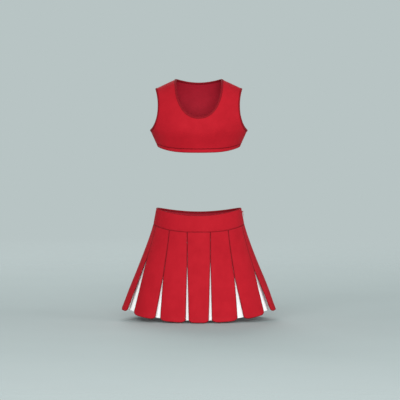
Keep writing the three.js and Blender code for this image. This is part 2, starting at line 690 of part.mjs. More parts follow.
// The hem's point at an angle round the body, with the directions up the cloth and out of it.
function hemFrame(half, round) {
  const surface = torsoSurface(half);
  const z = TOP_HEM_Z - (half === "front" ? TOP_FRONT_DIP : TOP_BACK_DIP) * dip(round, 4);
  const over = (z - ARMPIT_Z) / (ridgeHeight(bodyHalfWidth(z) * Math.sin(round)) - ARMPIT_Z);
  const out = normalAt(surface, round, over, outwards(half));
  const upwards = surface(round, over + NUDGE).sub(surface(round, over - NUDGE));
  const across = upwards.addScaledVector(out, -upwards.dot(out)).normalize();
  return { point: surface(round, over), across, out };
}

// The bodice's lower edge, just above the hem band.
function bandSeam(half, round) {
  const { point, across } = hemFrame(half, round);
  const z = point.z + (BAND_HEIGHT + SEAM_GAP) * across.z;
  return { round, over: (z - ARMPIT_Z) / (ridgeHeight(point.x) - ARMPIT_Z) };
}

// Places evenly spaced along a stretch of the torso surface, from stretch(0) to stretch(1).
function evenly(half, stretch, count) {
  const surface = torsoSurface(half);
  const fine = steps(400).map(stretch);
  const travelled = [0];
  for (let i = 1; i < fine.length; i += 1) {
    const [here, there] = [fine[i - 1], fine[i]].map(({ round, over }) => surface(round, over));
    travelled.push(travelled[i - 1] + here.distanceTo(there));
  }
  const whole = travelled.at(-1);
  return steps(count).map((s) => {
    const next = travelled.findIndex((length) => length > s * whole);
    if (next < 0) {
      return fine.at(-1);
    }
    const share = (s * whole - travelled[next - 1]) / (travelled[next] - travelled[next - 1]);
    return {
      round: lerp(fine[next - 1].round, fine[next].round, share),
      over: lerp(fine[next - 1].over, fine[next].over, share),
    };
  });
}

const neckPlaces = (half) => evenly(half, necklines[half], NECK_ROWS[half]);
const armholePlaces = (half) => evenly(half, armhole, ARMHOLE_ROWS);

// The two edges of half a bodice panel, row by row: up the centre line and the neckline, and up the side
// seam and the armhole.
function bodiceEdges(half) {
  const neckLow = necklines[half](0).over;
  const centre = (s) => ({ round: 0, over: lerp(bandSeam(half, 0).over, neckLow, s) });
  const side = (s) => ({ round: QUARTER, over: lerp(bandSeam(half, QUARTER).over, 0, s) });
  return {
    inner: [...evenly(half, centre, BODICE_ROWS - NECK_ROWS[half]), ...neckPlaces(half).slice(1)],
    outer: [...evenly(half, side, BODICE_ROWS - ARMHOLE_ROWS), ...armholePlaces(half).slice(1)],
  };
}

// The front and back halves stop short of the side and shoulder seams by half a seam's gap.
const sideLimit = QUARTER - SEAM_GAP / 2 / HEM_BACK_DEPTH;
const shoulderRadius = 0.6 * CHEST_BACK_DEPTH; // the least that the shoulders' outline turns on
const shoulderLimit = QUARTER - SEAM_GAP / 2 / shoulderRadius;

function bodiceGrid(half) {
  const { inner, outer } = bodiceEdges(half);
  const surface = torsoSurface(half);
  return gridOf(steps(BODICE_COLUMNS), [...inner.keys()], (u, row) => {
    const round = lerp(inner[row].round, outer[row].round, u);
    const over = row === 0 ? bandSeam(half, round).over : lerp(inner[row].over, outer[row].over, u);
    const place = [Math.min(round, sideLimit), Math.min(over, shoulderLimit)];
    return { point: surface(...place), normal: normalAt(surface, ...place, outwards(half)) };
  });
}

// ---------------------------------------------------------------------------------------- top

const top = new THREE.Group();
const bodiceLiningDepth = OUTER_PLY + LAYER_GAP;
const bodiceDepth = bodiceLiningDepth + LINING_PLY;

function addBodiceHalf(half) {
  const grid = withMirror(bodiceGrid(half));
  addPiece(top, `bodice_${half}`, layer(grid, 0, -OUTER_PLY), RED);
  addPiece(top, `bodice_lining_${half}`, layer(grid, -bodiceLiningDepth, -bodiceDepth), RED_LINING);
}

// Frames round an opening's edge, `across` pointing off the cloth towards `middle`.
function edgeFrames(places, middle) {
  const surfacePoint = ({ half, round, over }) => torsoSurface(half)(round, over);
  return places.map((place, i) => {
    const point = surfacePoint(place);
    const before = surfacePoint(places.at(i - 1));
    const after = surfacePoint(places[(i + 1) % places.length]);
    const out = normalAt(torsoSurface(place.half), place.round, place.over, outwards(place.half));
    const across = after.sub(before).cross(out).normalize();
    const isBackwards = across.dot(middle.clone().sub(point)) < 0;
    return { point, across: isBackwards ? across.negate() : across, out };
  });
}

const mirroredFrame = ({ point, across, out }) => ({
  point: acrossCentre(point),
  across: acrossCentre(across),
  out: acrossCentre(out),
});

// From the front's lowest place over the shoulder to the back's lowest place.
function overTheShoulder(placesOf) {
  const front = placesOf("front").map((place) => ({ half: "front", ...place }));
  const back = placesOf("back").map((place) => ({ half: "back", ...place }));
  return [...front, ...back.reverse().slice(1)];
}

// A strip folded over the edge of the bodice and its lining, open towards the cloth.
function bindingSection() {
  const [outer, inner] = [BINDING_ROOM, -bodiceDepth - BINDING_ROOM];
  const fold = SEAM_GAP + BINDING_PLY;
  return [
    [-BINDING_WIDTH, outer + BINDING_PLY],
    [fold, outer + BINDING_PLY],
    [fold, inner - BINDING_PLY],
    [-BINDING_WIDTH, inner - BINDING_PLY],
    [-BINDING_WIDTH, inner],
    [SEAM_GAP, inner],
    [SEAM_GAP, outer],
    [-BINDING_WIDTH, outer],
  ];
}

function addNeckBinding() {
  const left = overTheShoulder(neckPlaces);
  const right = left.slice(1, -1).reverse().map((place) => ({ ...place, round: -place.round }));
  const frames = edgeFrames([...left, ...right], vector(0, 0, neckTopZ));
  addPiece(top, "neck_binding", sweep(frames, bindingSection(), true), RED);
}

function addArmholeBindings() {
  const places = overTheShoulder(armholePlaces).slice(0, -1);
  const armMiddle = vector(SHOULDER_TIP_X, 0, (ARMPIT_Z + shoulderTipZ) / 2);
  const frames = edgeFrames(places, armMiddle);
  addPiece(top, "armhole_binding_left", sweep(frames, bindingSection(), true), RED);
  const mirrored = frames.map(mirroredFrame);
  addPiece(top, "armhole_binding_right", sweep(mirrored, bindingSection(), true), RED);
}

const hemFrames = (half) =>
  steps(2 * BODICE_COLUMNS).map((s) => hemFrame(half, lerp(-sideLimit, sideLimit, s)));
const bandDepth = bodiceDepth + LAYER_GAP;

// The hem band is a folded strip, open at its top edge.
function addHemBand(half) {
  const section = [
    [0, 0],
    [BAND_HEIGHT, 0],
    [BAND_HEIGHT, -BAND_PLY],
    [BAND_PLY, -BAND_PLY],
    [BAND_PLY, BAND_PLY - bandDepth],
    [BAND_HEIGHT, BAND_PLY - bandDepth],
    [BAND_HEIGHT, -bandDepth],
    [0, -bandDepth],
  ];
  addPiece(top, `hem_band_${half}`, sweep(hemFrames(half), section, false), RED);
}

// The ring of elastic inside the hem band.
function addHemElastic() {
  const outer = (ELASTIC_PLY - bandDepth) / 2;
  const [low, high] = [ELASTIC_INSET, BAND_HEIGHT - ELASTIC_INSET];
  const section = [
    [low, outer],
    [high, outer],
    [high, outer - ELASTIC_PLY],
    [low, outer - ELASTIC_PLY],
  ];
  const frames = [...hemFrames("front"), ...hemFrames("back").reverse()];
  addPiece(top, "hem_elastic", sweep(frames, section, true), ELASTIC);
}

// Stay tapes under the shoulder seams, between the neck's and the armholes' bindings.
function addShoulderStays() {
  const inset = BINDING_WIDTH + 1;
  const frames = [NECK_HALF_WIDTH + inset, SHOULDER_TIP_X - inset].map((x) => {
    const along = vector(1, 0, ridgeHeight(x + 0.5) - ridgeHeight(x - 0.5)).normalize();
    const point = vector(x, 0, ridgeHeight(x));
    return { point, across: vector(0, 1, 0), out: vector(-along.z, 0, along.x) };
  });
  const outer = -bodiceDepth - STAY_ROOM;
  const half = STAY_WIDTH / 2;
  const section = [
    [-half, outer],
    [half, outer],
    [half, outer - STAY_PLY],
    [-half, outer - STAY_PLY],
  ];
  addPiece(top, "shoulder_tape_left", sweep(frames, section, false), WHITE);
  addPiece(top, "shoulder_tape_right", sweep(frames.map(mirroredFrame), section, false), WHITE);
}

// ---------------------------------------------------------------------------------------- assembly

addPleats();
addYokeHalf("front");
addYokeHalf("back");
addCareLabel();
addZipSide("front", -1);
addZipSide("back", 1);
addBottomStop();
addSlider();
addPullTab();
addHook();
addBar();

addBodiceHalf("front");
addBodiceHalf("back");
addNeckBinding();
addArmholeBindings();
addHemBand("front");
addHemBand("back");
addHemElastic();
addShoulderStays();

const uniform = new THREE.Group();
uniform.add(skirt, top);
export default uniform;
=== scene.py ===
import math

import bpy
import numpy as np
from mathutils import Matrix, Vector
from mathutils.kdtree import KDTree


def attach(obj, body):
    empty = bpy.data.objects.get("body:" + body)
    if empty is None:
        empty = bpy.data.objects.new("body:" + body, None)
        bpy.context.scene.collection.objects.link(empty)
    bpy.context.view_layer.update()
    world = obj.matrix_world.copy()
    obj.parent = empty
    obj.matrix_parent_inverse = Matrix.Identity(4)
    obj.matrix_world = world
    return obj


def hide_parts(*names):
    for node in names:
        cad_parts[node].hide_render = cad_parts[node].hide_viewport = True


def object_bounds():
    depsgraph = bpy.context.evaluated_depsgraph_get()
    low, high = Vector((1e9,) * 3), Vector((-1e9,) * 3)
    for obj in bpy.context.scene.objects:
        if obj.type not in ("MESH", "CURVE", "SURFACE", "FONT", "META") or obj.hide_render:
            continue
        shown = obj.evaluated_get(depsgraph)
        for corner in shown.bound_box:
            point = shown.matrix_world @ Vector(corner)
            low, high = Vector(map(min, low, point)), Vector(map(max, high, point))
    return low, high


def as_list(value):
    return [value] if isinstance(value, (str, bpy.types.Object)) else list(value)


# A two-piece cheer uniform in the shape it takes when worn: a sleeveless cropped top with a scoop neck,
# and a box-pleated skirt on a shaped yoke whose pleats open on white inserts. Metres, +Z up. The wearer
# faces -Y, so +X is the wearer's left. The sizes below are those of the CAD part.

MM = 0.001
QUARTER = math.pi / 2
STEP = 1e-5  # for slopes

# Cloth and its layers
OUTER_PLY = 1.4 * MM
LINING_PLY = 1.0 * MM
INTERFACING_PLY = 0.5 * MM
LAYER_GAP = 0.3 * MM
SEAM_GAP = 0.4 * MM
CLOSED_GAP = 0.06 * MM  # between two folds that touch
FOLD_PLY = 2.3 * MM  # where the cloth is turned back on itself

# Yoke
WAIST = (140 * MM, 100 * MM)  # half its width and half its depth
SEAM = (150 * MM, 110 * MM)
WAIST_DIP = 19 * MM
YOKE_SIDE_HEIGHT = 53.6 * MM
YOKE_SEAM_DIP = 18.6 * MM
ZIP_SLIT = 1.1 * MM  # narrower than the CAD's, as the zip draws the edges together
TAPE_WIDTH = 10 * MM
TAPE_PLY = 0.4 * MM
LABEL_WIDTH = 24 * MM
LABEL_ENDS = (14 * MM, 44 * MM)  # from the waist edge
LABEL_PLY = 0.5 * MM

# Pleated part
PANEL_LENGTH = 300 * MM
HEM = (254 * MM, 165 * MM)
HIP_HOLLOW = 0.3
PANEL_BULGE = 4 * MM
CORNER_RISE = 9 * MM
PLEAT_DEPTH = (2.4 * MM, 9 * MM)  # at the seam and at the hem
INSERT_TOP_HALF_WIDTH = 12 * MM
INSERT_HEM_RISE = 9 * MM
INSERT_LEAN = 5 * MM  # of its side edges, inwards
# Pleat lines from the centre front to the side: angle at the yoke seam and at the hem, gap at the hem,
# how far down the gap begins, and how far the insert reaches under each panel.
PLEATS = {
    "inner": (14.7, 8.6, 9.5 * MM, 0.36, 24 * MM),
    "middle": (40, 32.8, 20.5 * MM, 0.52, 28 * MM),
    "outer": (71.2, 62.6, 27 * MM, 0.48, 28 * MM),
    "side": (90, 90, 24 * MM, 0.45, 24 * MM),
}

# How the worn pleats differ from even ones: how much later each opens, and how much further the fold
# nearer the side lies back at the hem
WORN_PLEATS = {
    "front_right_outer": (-0.13, 9 * MM),
    "front_left_outer": (0.0, 9 * MM),
    "back_left_outer": (-0.03, 7 * MM),
    "back_right_outer": (0.02, 7 * MM),
    "front_right_middle": (0.0, -4 * MM),
    "front_left_middle": (0.0, 2 * MM),
    "front_left_inner": (-0.04, 0.0),
}

# Cropped top
ARMPIT_Z = 256 * MM
TOP_HEM_Z = 200.5 * MM
HEM_DIP = {"front": 13.7 * MM, "back": 8 * MM}
TOP_HEM_HALF_WIDTH = 135 * MM
CHEST_HALF_WIDTH = 160 * MM
SHOULDER_GAIN = 12 * MM
DEPTHS = {"front": (98 * MM, 118 * MM), "back": (92 * MM, 98 * MM)}  # at the hem and at the chest
CHEST_RISE = 75 * MM
RIDGE_TOP_Z = 446.8 * MM
RIDGE_SLOPE = 0.5
RIDGE_ROUNDING = 40 * MM
NECK_HALF_WIDTH = 75.6 * MM
NECK_SQUARENESS = 2.2
FRONT_NECK_Z = 305 * MM
BACK_NECK_DIP = 14.4 * MM
SHOULDER_TIP_X = 142 * MM
BAND_HEIGHT = 12 * MM
BINDING_WIDTH = 4.5 * MM

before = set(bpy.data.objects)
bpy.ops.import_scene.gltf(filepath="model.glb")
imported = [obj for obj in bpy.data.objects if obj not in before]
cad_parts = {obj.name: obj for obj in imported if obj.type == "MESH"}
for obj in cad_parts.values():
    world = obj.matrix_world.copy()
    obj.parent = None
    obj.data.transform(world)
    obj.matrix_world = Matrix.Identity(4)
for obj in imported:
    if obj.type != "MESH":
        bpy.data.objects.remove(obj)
cad_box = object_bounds()


# ---- numbers


def lerp(a, b, share):
    return a + (b - a) * share


def smooth_step(x, low, high):
    t = np.clip((x - low) / (high - low), 0, 1)
    return t * t * (3 - 2 * t)


def hump(x, middle, width):
    return np.exp(-(((x - middle) / width) ** 2))


def unit(v):
    return v / np.maximum(np.linalg.norm(v, axis=-1, keepdims=True), 1e-12)


def points(x, y, z):
    return np.stack(np.broadcast_arrays(x, y, z), axis=-1).astype(float)


def ripple(x, y, seed, wavelength, waves=6):
    """Soft waves over a cloth, within about 1 of 0, from a few sines in seeded directions."""
    random = np.random.RandomState(seed)
    total = 0
    for _ in range(waves):
        heading = random.uniform(0, 2 * math.pi)
        length = wavelength * random.uniform(0.7, 1.6)
        phase = random.uniform(0, 2 * math.pi)
        along = x * math.cos(heading) + y * math.sin(heading)
        total = total + np.sin(along * 2 * math.pi / length + phase)
    return total / math.sqrt(waves) * 0.75


def spaced(fine, count):
    """Places from 0 to 1, closer together at both ends."""
    ends = np.array(fine[:-1])
    middle = np.linspace(fine[-1], 1 - fine[-1], count)
    return np.concatenate([[0], ends, middle, 1 - ends[::-1], [1]])


def travelled(path):
    """How far each point of a path lies along it."""
    return np.concatenate([[0], np.cumsum(np.linalg.norm(np.diff(path, axis=0), axis=1))])


def normal_of(surface, p, q, side=1):
    along_p = surface(p + STEP, q) - surface(p - STEP, q)
    along_q = surface(p, q + STEP) - surface(p, q - STEP)
    return unit(np.cross(along_q, along_p)) * side


# ---- meshes


def quads_of(index):
    """The faces of a grid of points, given each point's number."""
    corners = [index[:-1, :-1], index[1:, :-1], index[1:, 1:], index[:-1, 1:]]
    return np.stack(corners, axis=-1).reshape(-1, 4)


def row_lengths(grid):
    """How far each point of a grid lies from the middle of its row, along the row."""
    hops = np.linalg.norm(np.diff(grid, axis=1), axis=2)
    along = np.concatenate([np.zeros((len(grid), 1)), np.cumsum(hops, axis=1)], axis=1)
    return along - along[:, -1:] / 2


class Sheet:
    """A surface with directions out of it and each point's place on the cloth, in metres."""

    def __init__(self, grid, normals):
        self.points = grid.reshape(-1, 3)
        self.normals = normals.reshape(-1, 3)
        drops = np.linalg.norm(np.diff(grid, axis=0), axis=2).mean(1)
        down = np.cumsum(np.concatenate([[0], drops]))
        across = row_lengths(grid)
        self.place = np.stack(np.broadcast_arrays(across, down[:, None]), axis=-1).reshape(-1, 2)
        self.faces = quads_of(np.arange(across.size).reshape(across.shape))
        self.flat = (float(np.ptp(across, axis=1).max()), float(down[-1]))
        self.orient()

    def orient(self):
        a, b, c, _ = (self.points[self.faces[:, i]] for i in range(4))
        facing = (np.cross(b - a, c - a) * self.normals[self.faces[:, 0]]).sum()
        if facing < 0:
            self.faces = self.faces[:, ::-1]

    def area(self):
        a, b, c, d = (self.points[self.faces[:, i]] for i in range(4))
        return float(np.linalg.norm(np.cross(c - a, d - b), axis=1).sum() / 2)

    def rim(self):
        """The edges round the sheet, with the cloth on their left, and the way off the cloth."""
        f = self.faces
        edges = np.concatenate([f[:, [i, (i + 1) % 4]] for i in range(4)])
        known = {tuple(e) for e in edges.tolist()}
        free = np.array([e for e in edges.tolist() if (e[1], e[0]) not in known and e[0] != e[1]])
        along = unit(self.points[free[:, 1]] - self.points[free[:, 0]])
        away = np.zeros_like(self.points)
        for end in (0, 1):
            np.add.at(away, free[:, end], np.cross(along, self.normals[free[:, end]]))
        return free, unit(away)

    def edge_distance(self):
        free, _ = self.rim()
        ends = np.unique(free)
        tree = KDTree(len(free))
        for i, e in enumerate(free):
            tree.insert((self.points[e[0]] + self.points[e[1]]) / 2, i)
        tree.balance()
        found = np.array([tree.find(p)[2] for p in self.points])
        found[ends] = 0
        return found

    def solid(self, outer, inner, rounds=3):
        """A closed layer between two distances out of the sheet, with a rounded edge."""
        count = len(self.points)
        outer, inner = (np.broadcast_to(np.asarray(x, float).ravel(), count) for x in (outer, inner))
        free, away = self.rim()
        half = (outer - inner) / 2
        base = self.points.copy()
        ends = np.unique(free)
        base[ends] -= away[ends] * half[ends, None]
        rings = [base + self.normals * outer[:, None], base + self.normals * inner[:, None]]
        middle = base[ends] + self.normals[ends] * ((outer + inner) / 2)[ends, None]
        for k in range(1, rounds + 1):
            turn = math.pi * k / (rounds + 1)
            lift = self.normals[ends] * (half[ends] * math.cos(turn))[:, None]
            rings.append(middle + lift + away[ends] * (half[ends] * math.sin(turn))[:, None])
        distance = self.edge_distance()
        place = np.concatenate([self.place, self.place, np.tile(self.place[ends], (rounds, 1))])
        edge = np.concatenate([distance, distance, np.zeros(rounds * len(ends))])
        return np.concatenate(rings), self.solid_faces(free, ends, rounds), place, edge

    def solid_faces(self, free, ends, rounds):
        """The faces of both sides and of the rings between them round the edge."""
        count = len(self.points)
        slots = {int(e): i for i, e in enumerate(ends)}

        def number(vertex, ring):
            if ring == 0:
                return vertex
            if ring > rounds:
                return vertex + count
            return 2 * count + (ring - 1) * len(ends) + slots[vertex]

        sides = np.concatenate([self.faces, self.faces[:, ::-1] + count])
        faces = [tuple(f) for f in sides.tolist()]
        for a, b in free.tolist():
            for k in range(rounds + 1):
                corners = ((b, k), (a, k), (a, k + 1), (b, k + 1))
                faces.append(tuple(number(*corner) for corner in corners))
        return faces


def mirrored(grid, normals, shared_rows):
    """Half a sheet and its mirror image. They share the first column of the first rows."""
    flip = np.array([-1.0, 1, 1])
    rows, columns = grid.shape[:2]
    whole = np.concatenate([(grid * flip)[:, ::-1], grid], axis=1)
    sheet = Sheet(whole, np.concatenate([(normals * flip)[:, ::-1], normals], axis=1))
    index = np.arange(rows * 2 * columns).reshape(rows, 2 * columns)
    keep = index.copy()
    keep[:shared_rows, columns] = index[:shared_rows, columns - 1]
    faces = np.concatenate([quads_of(keep[:, :columns]), quads_of(keep[:, columns:])])
    used = np.unique(faces)
    renumber = np.zeros(index.size, int)
    renumber[used] = np.arange(len(used))
    for name in ("points", "normals", "place"):
        setattr(sheet, name, getattr(sheet, name)[used])
    sheet.faces = renumber[faces]
    sheet.orient()
    return sheet


def strip(path, ply, rounds=3):
    """The closed outline of a ply of cloth that follows a path in its cross-section."""
    path = np.asarray(path, float)
    along = unit(np.gradient(path, axis=0)) * ply / 2
    side = np.stack([-along[:, 1], along[:, 0]], axis=1)

    def cap(i, sign):
        turns = [math.pi * k / (rounds + 1) for k in range(1, rounds + 1)]
        return [path[i] + sign * (side[i] * math.cos(t) + along[i] * math.sin(t)) for t in turns]

    return np.array([*(path + side), *cap(-1, 1), *(path - side)[::-1], *cap(0, -1)])


def straight(start, end, count=6):
    return [(lerp(start[0], end[0], s), lerp(start[1], end[1], s)) for s in np.linspace(0, 1, count)]


def turned_path(start, near, far, end, steps=9):
    """A path from start to near, round a half turn to far, and back to end."""
    middle = (near[1] + far[1]) / 2
    reach = abs(far[1] - near[1]) / 2 * np.sign(near[0] - start[0])
    turns = np.linspace(0, math.pi, steps)
    bend = [(near[0] + reach * math.sin(t), middle + (near[1] - middle) * math.cos(t)) for t in turns]
    return np.array(straight(start, near)[:-1] + bend + straight(far, end)[1:])


def rings_joined(here, after):
    """The faces between rings of points and the rings after them."""
    corners = [here, np.roll(here, -1, -1), np.roll(after, -1, -1), after]
    return np.stack(corners, axis=-1).reshape(-1, 4)


def sweep(at, across, out, sections, closed):
    """A closed section of (across, out) carried along frames."""
    frames, size = len(at), sections.shape[-2]
    sections = np.broadcast_to(sections, (frames, size, 2))
    verts = at[:, None] + across[:, None] * sections[..., :1] + out[:, None] * sections[..., 1:]
    index = np.arange(frames * size).reshape(frames, size)
    after = np.roll(index, -1, axis=0) if closed else index[1:]
    here = index if closed else index[:-1]
    quads = rings_joined(here, after)
    faces = [tuple(f) for f in quads.tolist()]
    if not closed:
        faces += [tuple(index[0].tolist()[::-1]), tuple(index[-1].tolist())]
    around = travelled(sections[0])
    place = np.stack(np.meshgrid(travelled(at), around, indexing="ij"), axis=-1).reshape(-1, 2)
    half, wide = around[-1] / 2, sections[..., 0]
    from_fold = np.minimum(wide - wide.min(1, keepdims=True), wide.max(1, keepdims=True) - wide)
    edge = np.minimum(np.minimum(around % half, half - around % half), from_fold).ravel()
    flat_verts = verts.reshape(-1, 3)
    a, b, c = (flat_verts[quads[:, i]] for i in range(3))
    outside = a - verts.mean(1)[quads[:, 0] // size]
    if (np.cross(b - a, c - a) * outside).sum() < 0:
        faces = [f[::-1] for f in faces]
    return flat_verts, faces, place, edge


def together(first, second):
    """Two closed layers as one piece."""
    shifted = [tuple(i + len(first[0]) for i in face) for face in second[1]]
    verts, places, edges = (np.concatenate([first[i], second[i]]) for i in (0, 2, 3))
    return verts, list(first[1]) + shifted, places, edges


def placed(name, data):
    thing = bpy.data.objects.new(name, data)
    bpy.context.scene.collection.objects.link(thing)
    return thing


def make_piece(name, built, material):
    """A mesh object from points, faces, places on the cloth and distances from its edge."""
    verts, faces, place, edge = built
    mesh = bpy.data.meshes.new(name)
    mesh.from_pydata(verts.tolist(), [], faces)
    where = mesh.attributes.new("cloth_place", "FLOAT_VECTOR", "POINT")
    places = np.column_stack([place, np.zeros(len(place))])
    where.data.foreach_set("vector", places.astype(np.float32).ravel())
    near = mesh.attributes.new("edge_distance", "FLOAT", "POINT")
    near.data.foreach_set("value", np.asarray(edge, np.float32))
    mesh.materials.append(material)
    mesh.shade_smooth()
    mesh.set_sharp_from_angle(angle=math.radians(50))
    mesh.update()
    return placed(name, mesh)


def stand_in(node, built, material, body, flat, rests_on, area=None):
    """A cloth piece that is shown for a CAD node, riding on its body."""
    piece = make_piece(f"{node}_cloth", built, material)
    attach(piece, body)
    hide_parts(node)
    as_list(rests_on)
    return piece


STITCH_PITCH = 3.4 * MM
FINE_PITCH = 3 * MM
THREAD = 0.28 * MM


def stitch_row(at, out, pitch):
    """The rings of points round each stitch of a row."""
    rings, sides = 5, 6
    turn = np.linspace(0, 2 * math.pi, sides, endpoint=False)[:, None]
    t = np.linspace(0, 1, rings)
    way = travelled(at)
    number = max(1, int(way[-1] / pitch))
    where = (np.arange(number)[:, None] + 0.15 + 0.7 * t) * (way[-1] / number)
    here, normal = (np.stack([np.interp(where, way, v[:, i]) for i in range(3)], -1) for v in (at, out))
    normal = unit(normal)
    side = np.cross(unit(np.gradient(here, axis=1)), normal)
    rise = np.sin(math.pi * t)
    centre = here + normal * (THREAD * (1.1 * rise - 0.5))[:, None]
    radius = THREAD * (0.55 + 0.45 * rise)
    ring = np.cos(turn) * side[:, :, None] + np.sin(turn) * normal[:, :, None]
    return centre[:, :, None] + ring * radius[:, None, None]


def stitches(name, paths, material, body, pitch=STITCH_PITCH):
    """Rows of machine stitches along paths of (points, directions out of the cloth)."""
    verts, faces = [], []
    count = 0
    for at, out in paths:
        made = stitch_row(at, out, pitch)
        index = np.arange(made[..., 0].size).reshape(made.shape[:3]) + count
        quads = rings_joined(index[:, :-1], index[:, 1:])
        for group in (quads, index[:, 0, ::-1], index[:, -1]):
            faces += [tuple(face) for face in group.tolist()]
        verts.append(made.reshape(-1, 3))
        count += index.size
    verts = np.concatenate(verts)
    inside = np.full(len(verts), 10 * MM)
    piece = make_piece(name, (verts, faces, verts[:, [0, 2]], inside), material)
    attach(piece, body)


# ---- materials


def srgb(*levels):
    """A colour given by its levels on a screen, 0 to 255, as the light it stands for."""
    shares = [level / 255 for level in levels]
    light = [s / 12.92 if s <= 0.04045 else ((s + 0.055) / 1.055) ** 2.4 for s in shares]
    return (*light, 1.0)


class Nodes:
    """A material's node tree, with short ways to add to it."""

    def __init__(self, name):
        self.material = bpy.data.materials.new(name)
        self.material.use_nodes = True
        self.tree = self.material.node_tree
        self.shader = self.tree.nodes["Principled BSDF"]
        self.solid = self.add("ShaderNodeTexCoord").outputs["Object"]

    def add(self, kind, inputs=(), **settings):
        node = self.tree.nodes.new(kind)
        for key, value in settings.items():
            setattr(node, key, value)
        for key, value in dict(inputs).items():
            self.link(value, node.inputs[key])
        return node

    def link(self, source, target):
        if hasattr(source, "bl_idname") and source.bl_idname.startswith("NodeSocket"):
            self.tree.links.new(source, target)
        else:
            target.default_value = source

    def surface(self, **values):
        """Links or sets the shader's sockets, named with _ for each space."""
        for key, value in values.items():
            self.link(value, self.shader.inputs[key.replace("_", " ")])

    def math(self, operation, *values):
        return self.add("ShaderNodeMath", enumerate(values), operation=operation).outputs[0]

    def noise(self, scale, detail=2.0, roughness=0.5, vector=None):
        inputs = {"Vector": vector or self.solid, "Scale": scale, "Detail": detail, "Roughness": roughness}
        return self.add("ShaderNodeTexNoise", inputs).outputs["Fac"]

    def spread(self, value, low, high, to_low, to_high):
        inputs = {"Value": value, "From Min": low, "From Max": high, "To Min": to_low, "To Max": to_high}
        return self.add("ShaderNodeMapRange", inputs).outputs["Result"]

    def mix(self, share, a, b, blend="MIX"):
        inputs = {0: share, 6: a, 7: b}
        return self.add("ShaderNodeMix", inputs, data_type="RGBA", blend_type=blend).outputs[2]

    def attribute(self, name, output):
        return self.add("ShaderNodeAttribute", attribute_name=name).outputs[output]

    def bump(self, height, strength, distance):
        inputs = {"Height": height, "Strength": strength, "Distance": distance}
        return self.add("ShaderNodeBump", inputs).outputs[0]

    def grey(self, level):
        return self.add("ShaderNodeCombineColor", enumerate([level] * 3)).outputs[0]

    def wave(self, value, pitch):
        """A sine of this pitch in metres, from -1 to 1."""
        return self.math("SINE", self.math("MULTIPLY", value, 2 * math.pi / pitch))


# How many times each unevenness repeats in a metre
FIBRE_SCALE = 1400
DYE_SCALE = 26
PATCH_SCALE = 7
TWIST_SCALE = 2600
SMUDGE_SCALE = 160


def knit_loops(n, rib, course):
    """The height of rows of interlocking loops, about -0.5 to 0.5."""
    split = n.add("ShaderNodeSeparateXYZ", {0: n.attribute("cloth_place", "Vector")})
    ribs = n.wave(split.outputs[0], rib)
    courses = n.wave(n.math("ADD", split.outputs[1], n.math("MULTIPLY", ribs, course * 0.35)), course)
    return n.math("MULTIPLY_ADD", n.math("MULTIPLY", ribs, courses), 0.25, n.math("MULTIPLY", ribs, 0.3))


def cloth_material(name, *tones, rib, course, roughness, sheen, relief, seam_shade=0.5):
    """Knitted cloth: loops of thread with painted shade in their low parts, fuzz, uneven dye, painted shade
    darkening the cloth near every edge, fold and seam, and brighter worn folds.
    """
    n = Nodes(name)
    colour, shade, light = (srgb(*tone) for tone in tones)
    edge = n.attribute("edge_distance", "Fac")
    loops = knit_loops(n, rib, course)
    fuzz, dye = n.noise(FIBRE_SCALE, 3), n.noise(DYE_SCALE, 4, 0.55)
    dyed = n.mix(n.spread(dye, 0.3, 0.7, 0.0, 0.55), colour, shade)
    lit = n.mix(n.spread(n.noise(PATCH_SCALE), 0.35, 0.7, 0.0, 0.35), dyed, light)
    # painted shade: darker where the knit's loops lie low, in the hollows of the bump
    shaded_loops = n.mix(n.spread(loops, -0.5, 0.5, 0.35, 0.0), lit, shade)
    fibres = n.mix(n.spread(fuzz, 0.45, 0.8, 0.0, 0.25), shaded_loops, light)
    wear = n.math("MULTIPLY", n.spread(edge, 1.5 * MM, 6 * MM, 0.3, 0.0), dye)
    # painted shade: the colour darkens within a few millimetres of each edge, fold and seam, as the shadow
    # in their grooves
    seam = n.grey(n.spread(edge, 0.8 * MM, 3.4 * MM, seam_shade, 1.0))
    height = n.math("ADD", loops, n.math("MULTIPLY", fuzz, 0.7))
    uneven = n.math("ADD", fuzz, dye)
    n.surface(
        Base_Color=n.mix(1.0, n.mix(wear, fibres, light), seam, "MULTIPLY"),
        Roughness=n.spread(uneven, 0.6, 1.4, roughness - 0.08, roughness + 0.08),
        Normal=n.bump(height, relief, 0.2 * MM),
        Sheen_Weight=sheen, Sheen_Roughness=0.5, Sheen_Tint=light, Specular_IOR_Level=0.15,
    )
    return n.material


def thread_material(name, *tones):
    n = Nodes(name)
    colour, shade = (srgb(*tone) for tone in tones)
    twist = n.noise(TWIST_SCALE)
    n.surface(
        Base_Color=n.mix(n.spread(twist, 0.35, 0.65, 0.0, 0.8), colour, shade),
        Roughness=n.spread(twist, 0.3, 0.7, 0.38, 0.55),
        Specular_IOR_Level=0.25,
    )
    return n.material


def hard_material(name, *tones, metallic, roughness, scratch_scale):
    """Metal or plastic with scratches along it and smudges."""
    n = Nodes(name)
    colour, shade = (srgb(*tone) for tone in tones)
    stretch = n.add("ShaderNodeMapping", {"Vector": n.solid, "Scale": (1, 1, 0.08)})
    scratches = n.noise(scratch_scale, 4, 0.65, stretch.outputs[0])
    worn = n.math("ADD", scratches, n.noise(SMUDGE_SCALE))
    n.surface(
        Base_Color=n.mix(n.spread(scratches, 0.4, 0.75, 0.0, 0.7), colour, shade),
        Roughness=n.spread(worn, 0.7, 1.4, roughness - 0.08, roughness + 0.16),
        Normal=n.bump(scratches, 0.2, 0.05 * MM),
        Metallic=metallic, Specular_IOR_Level=0.35,
    )
    return n.material


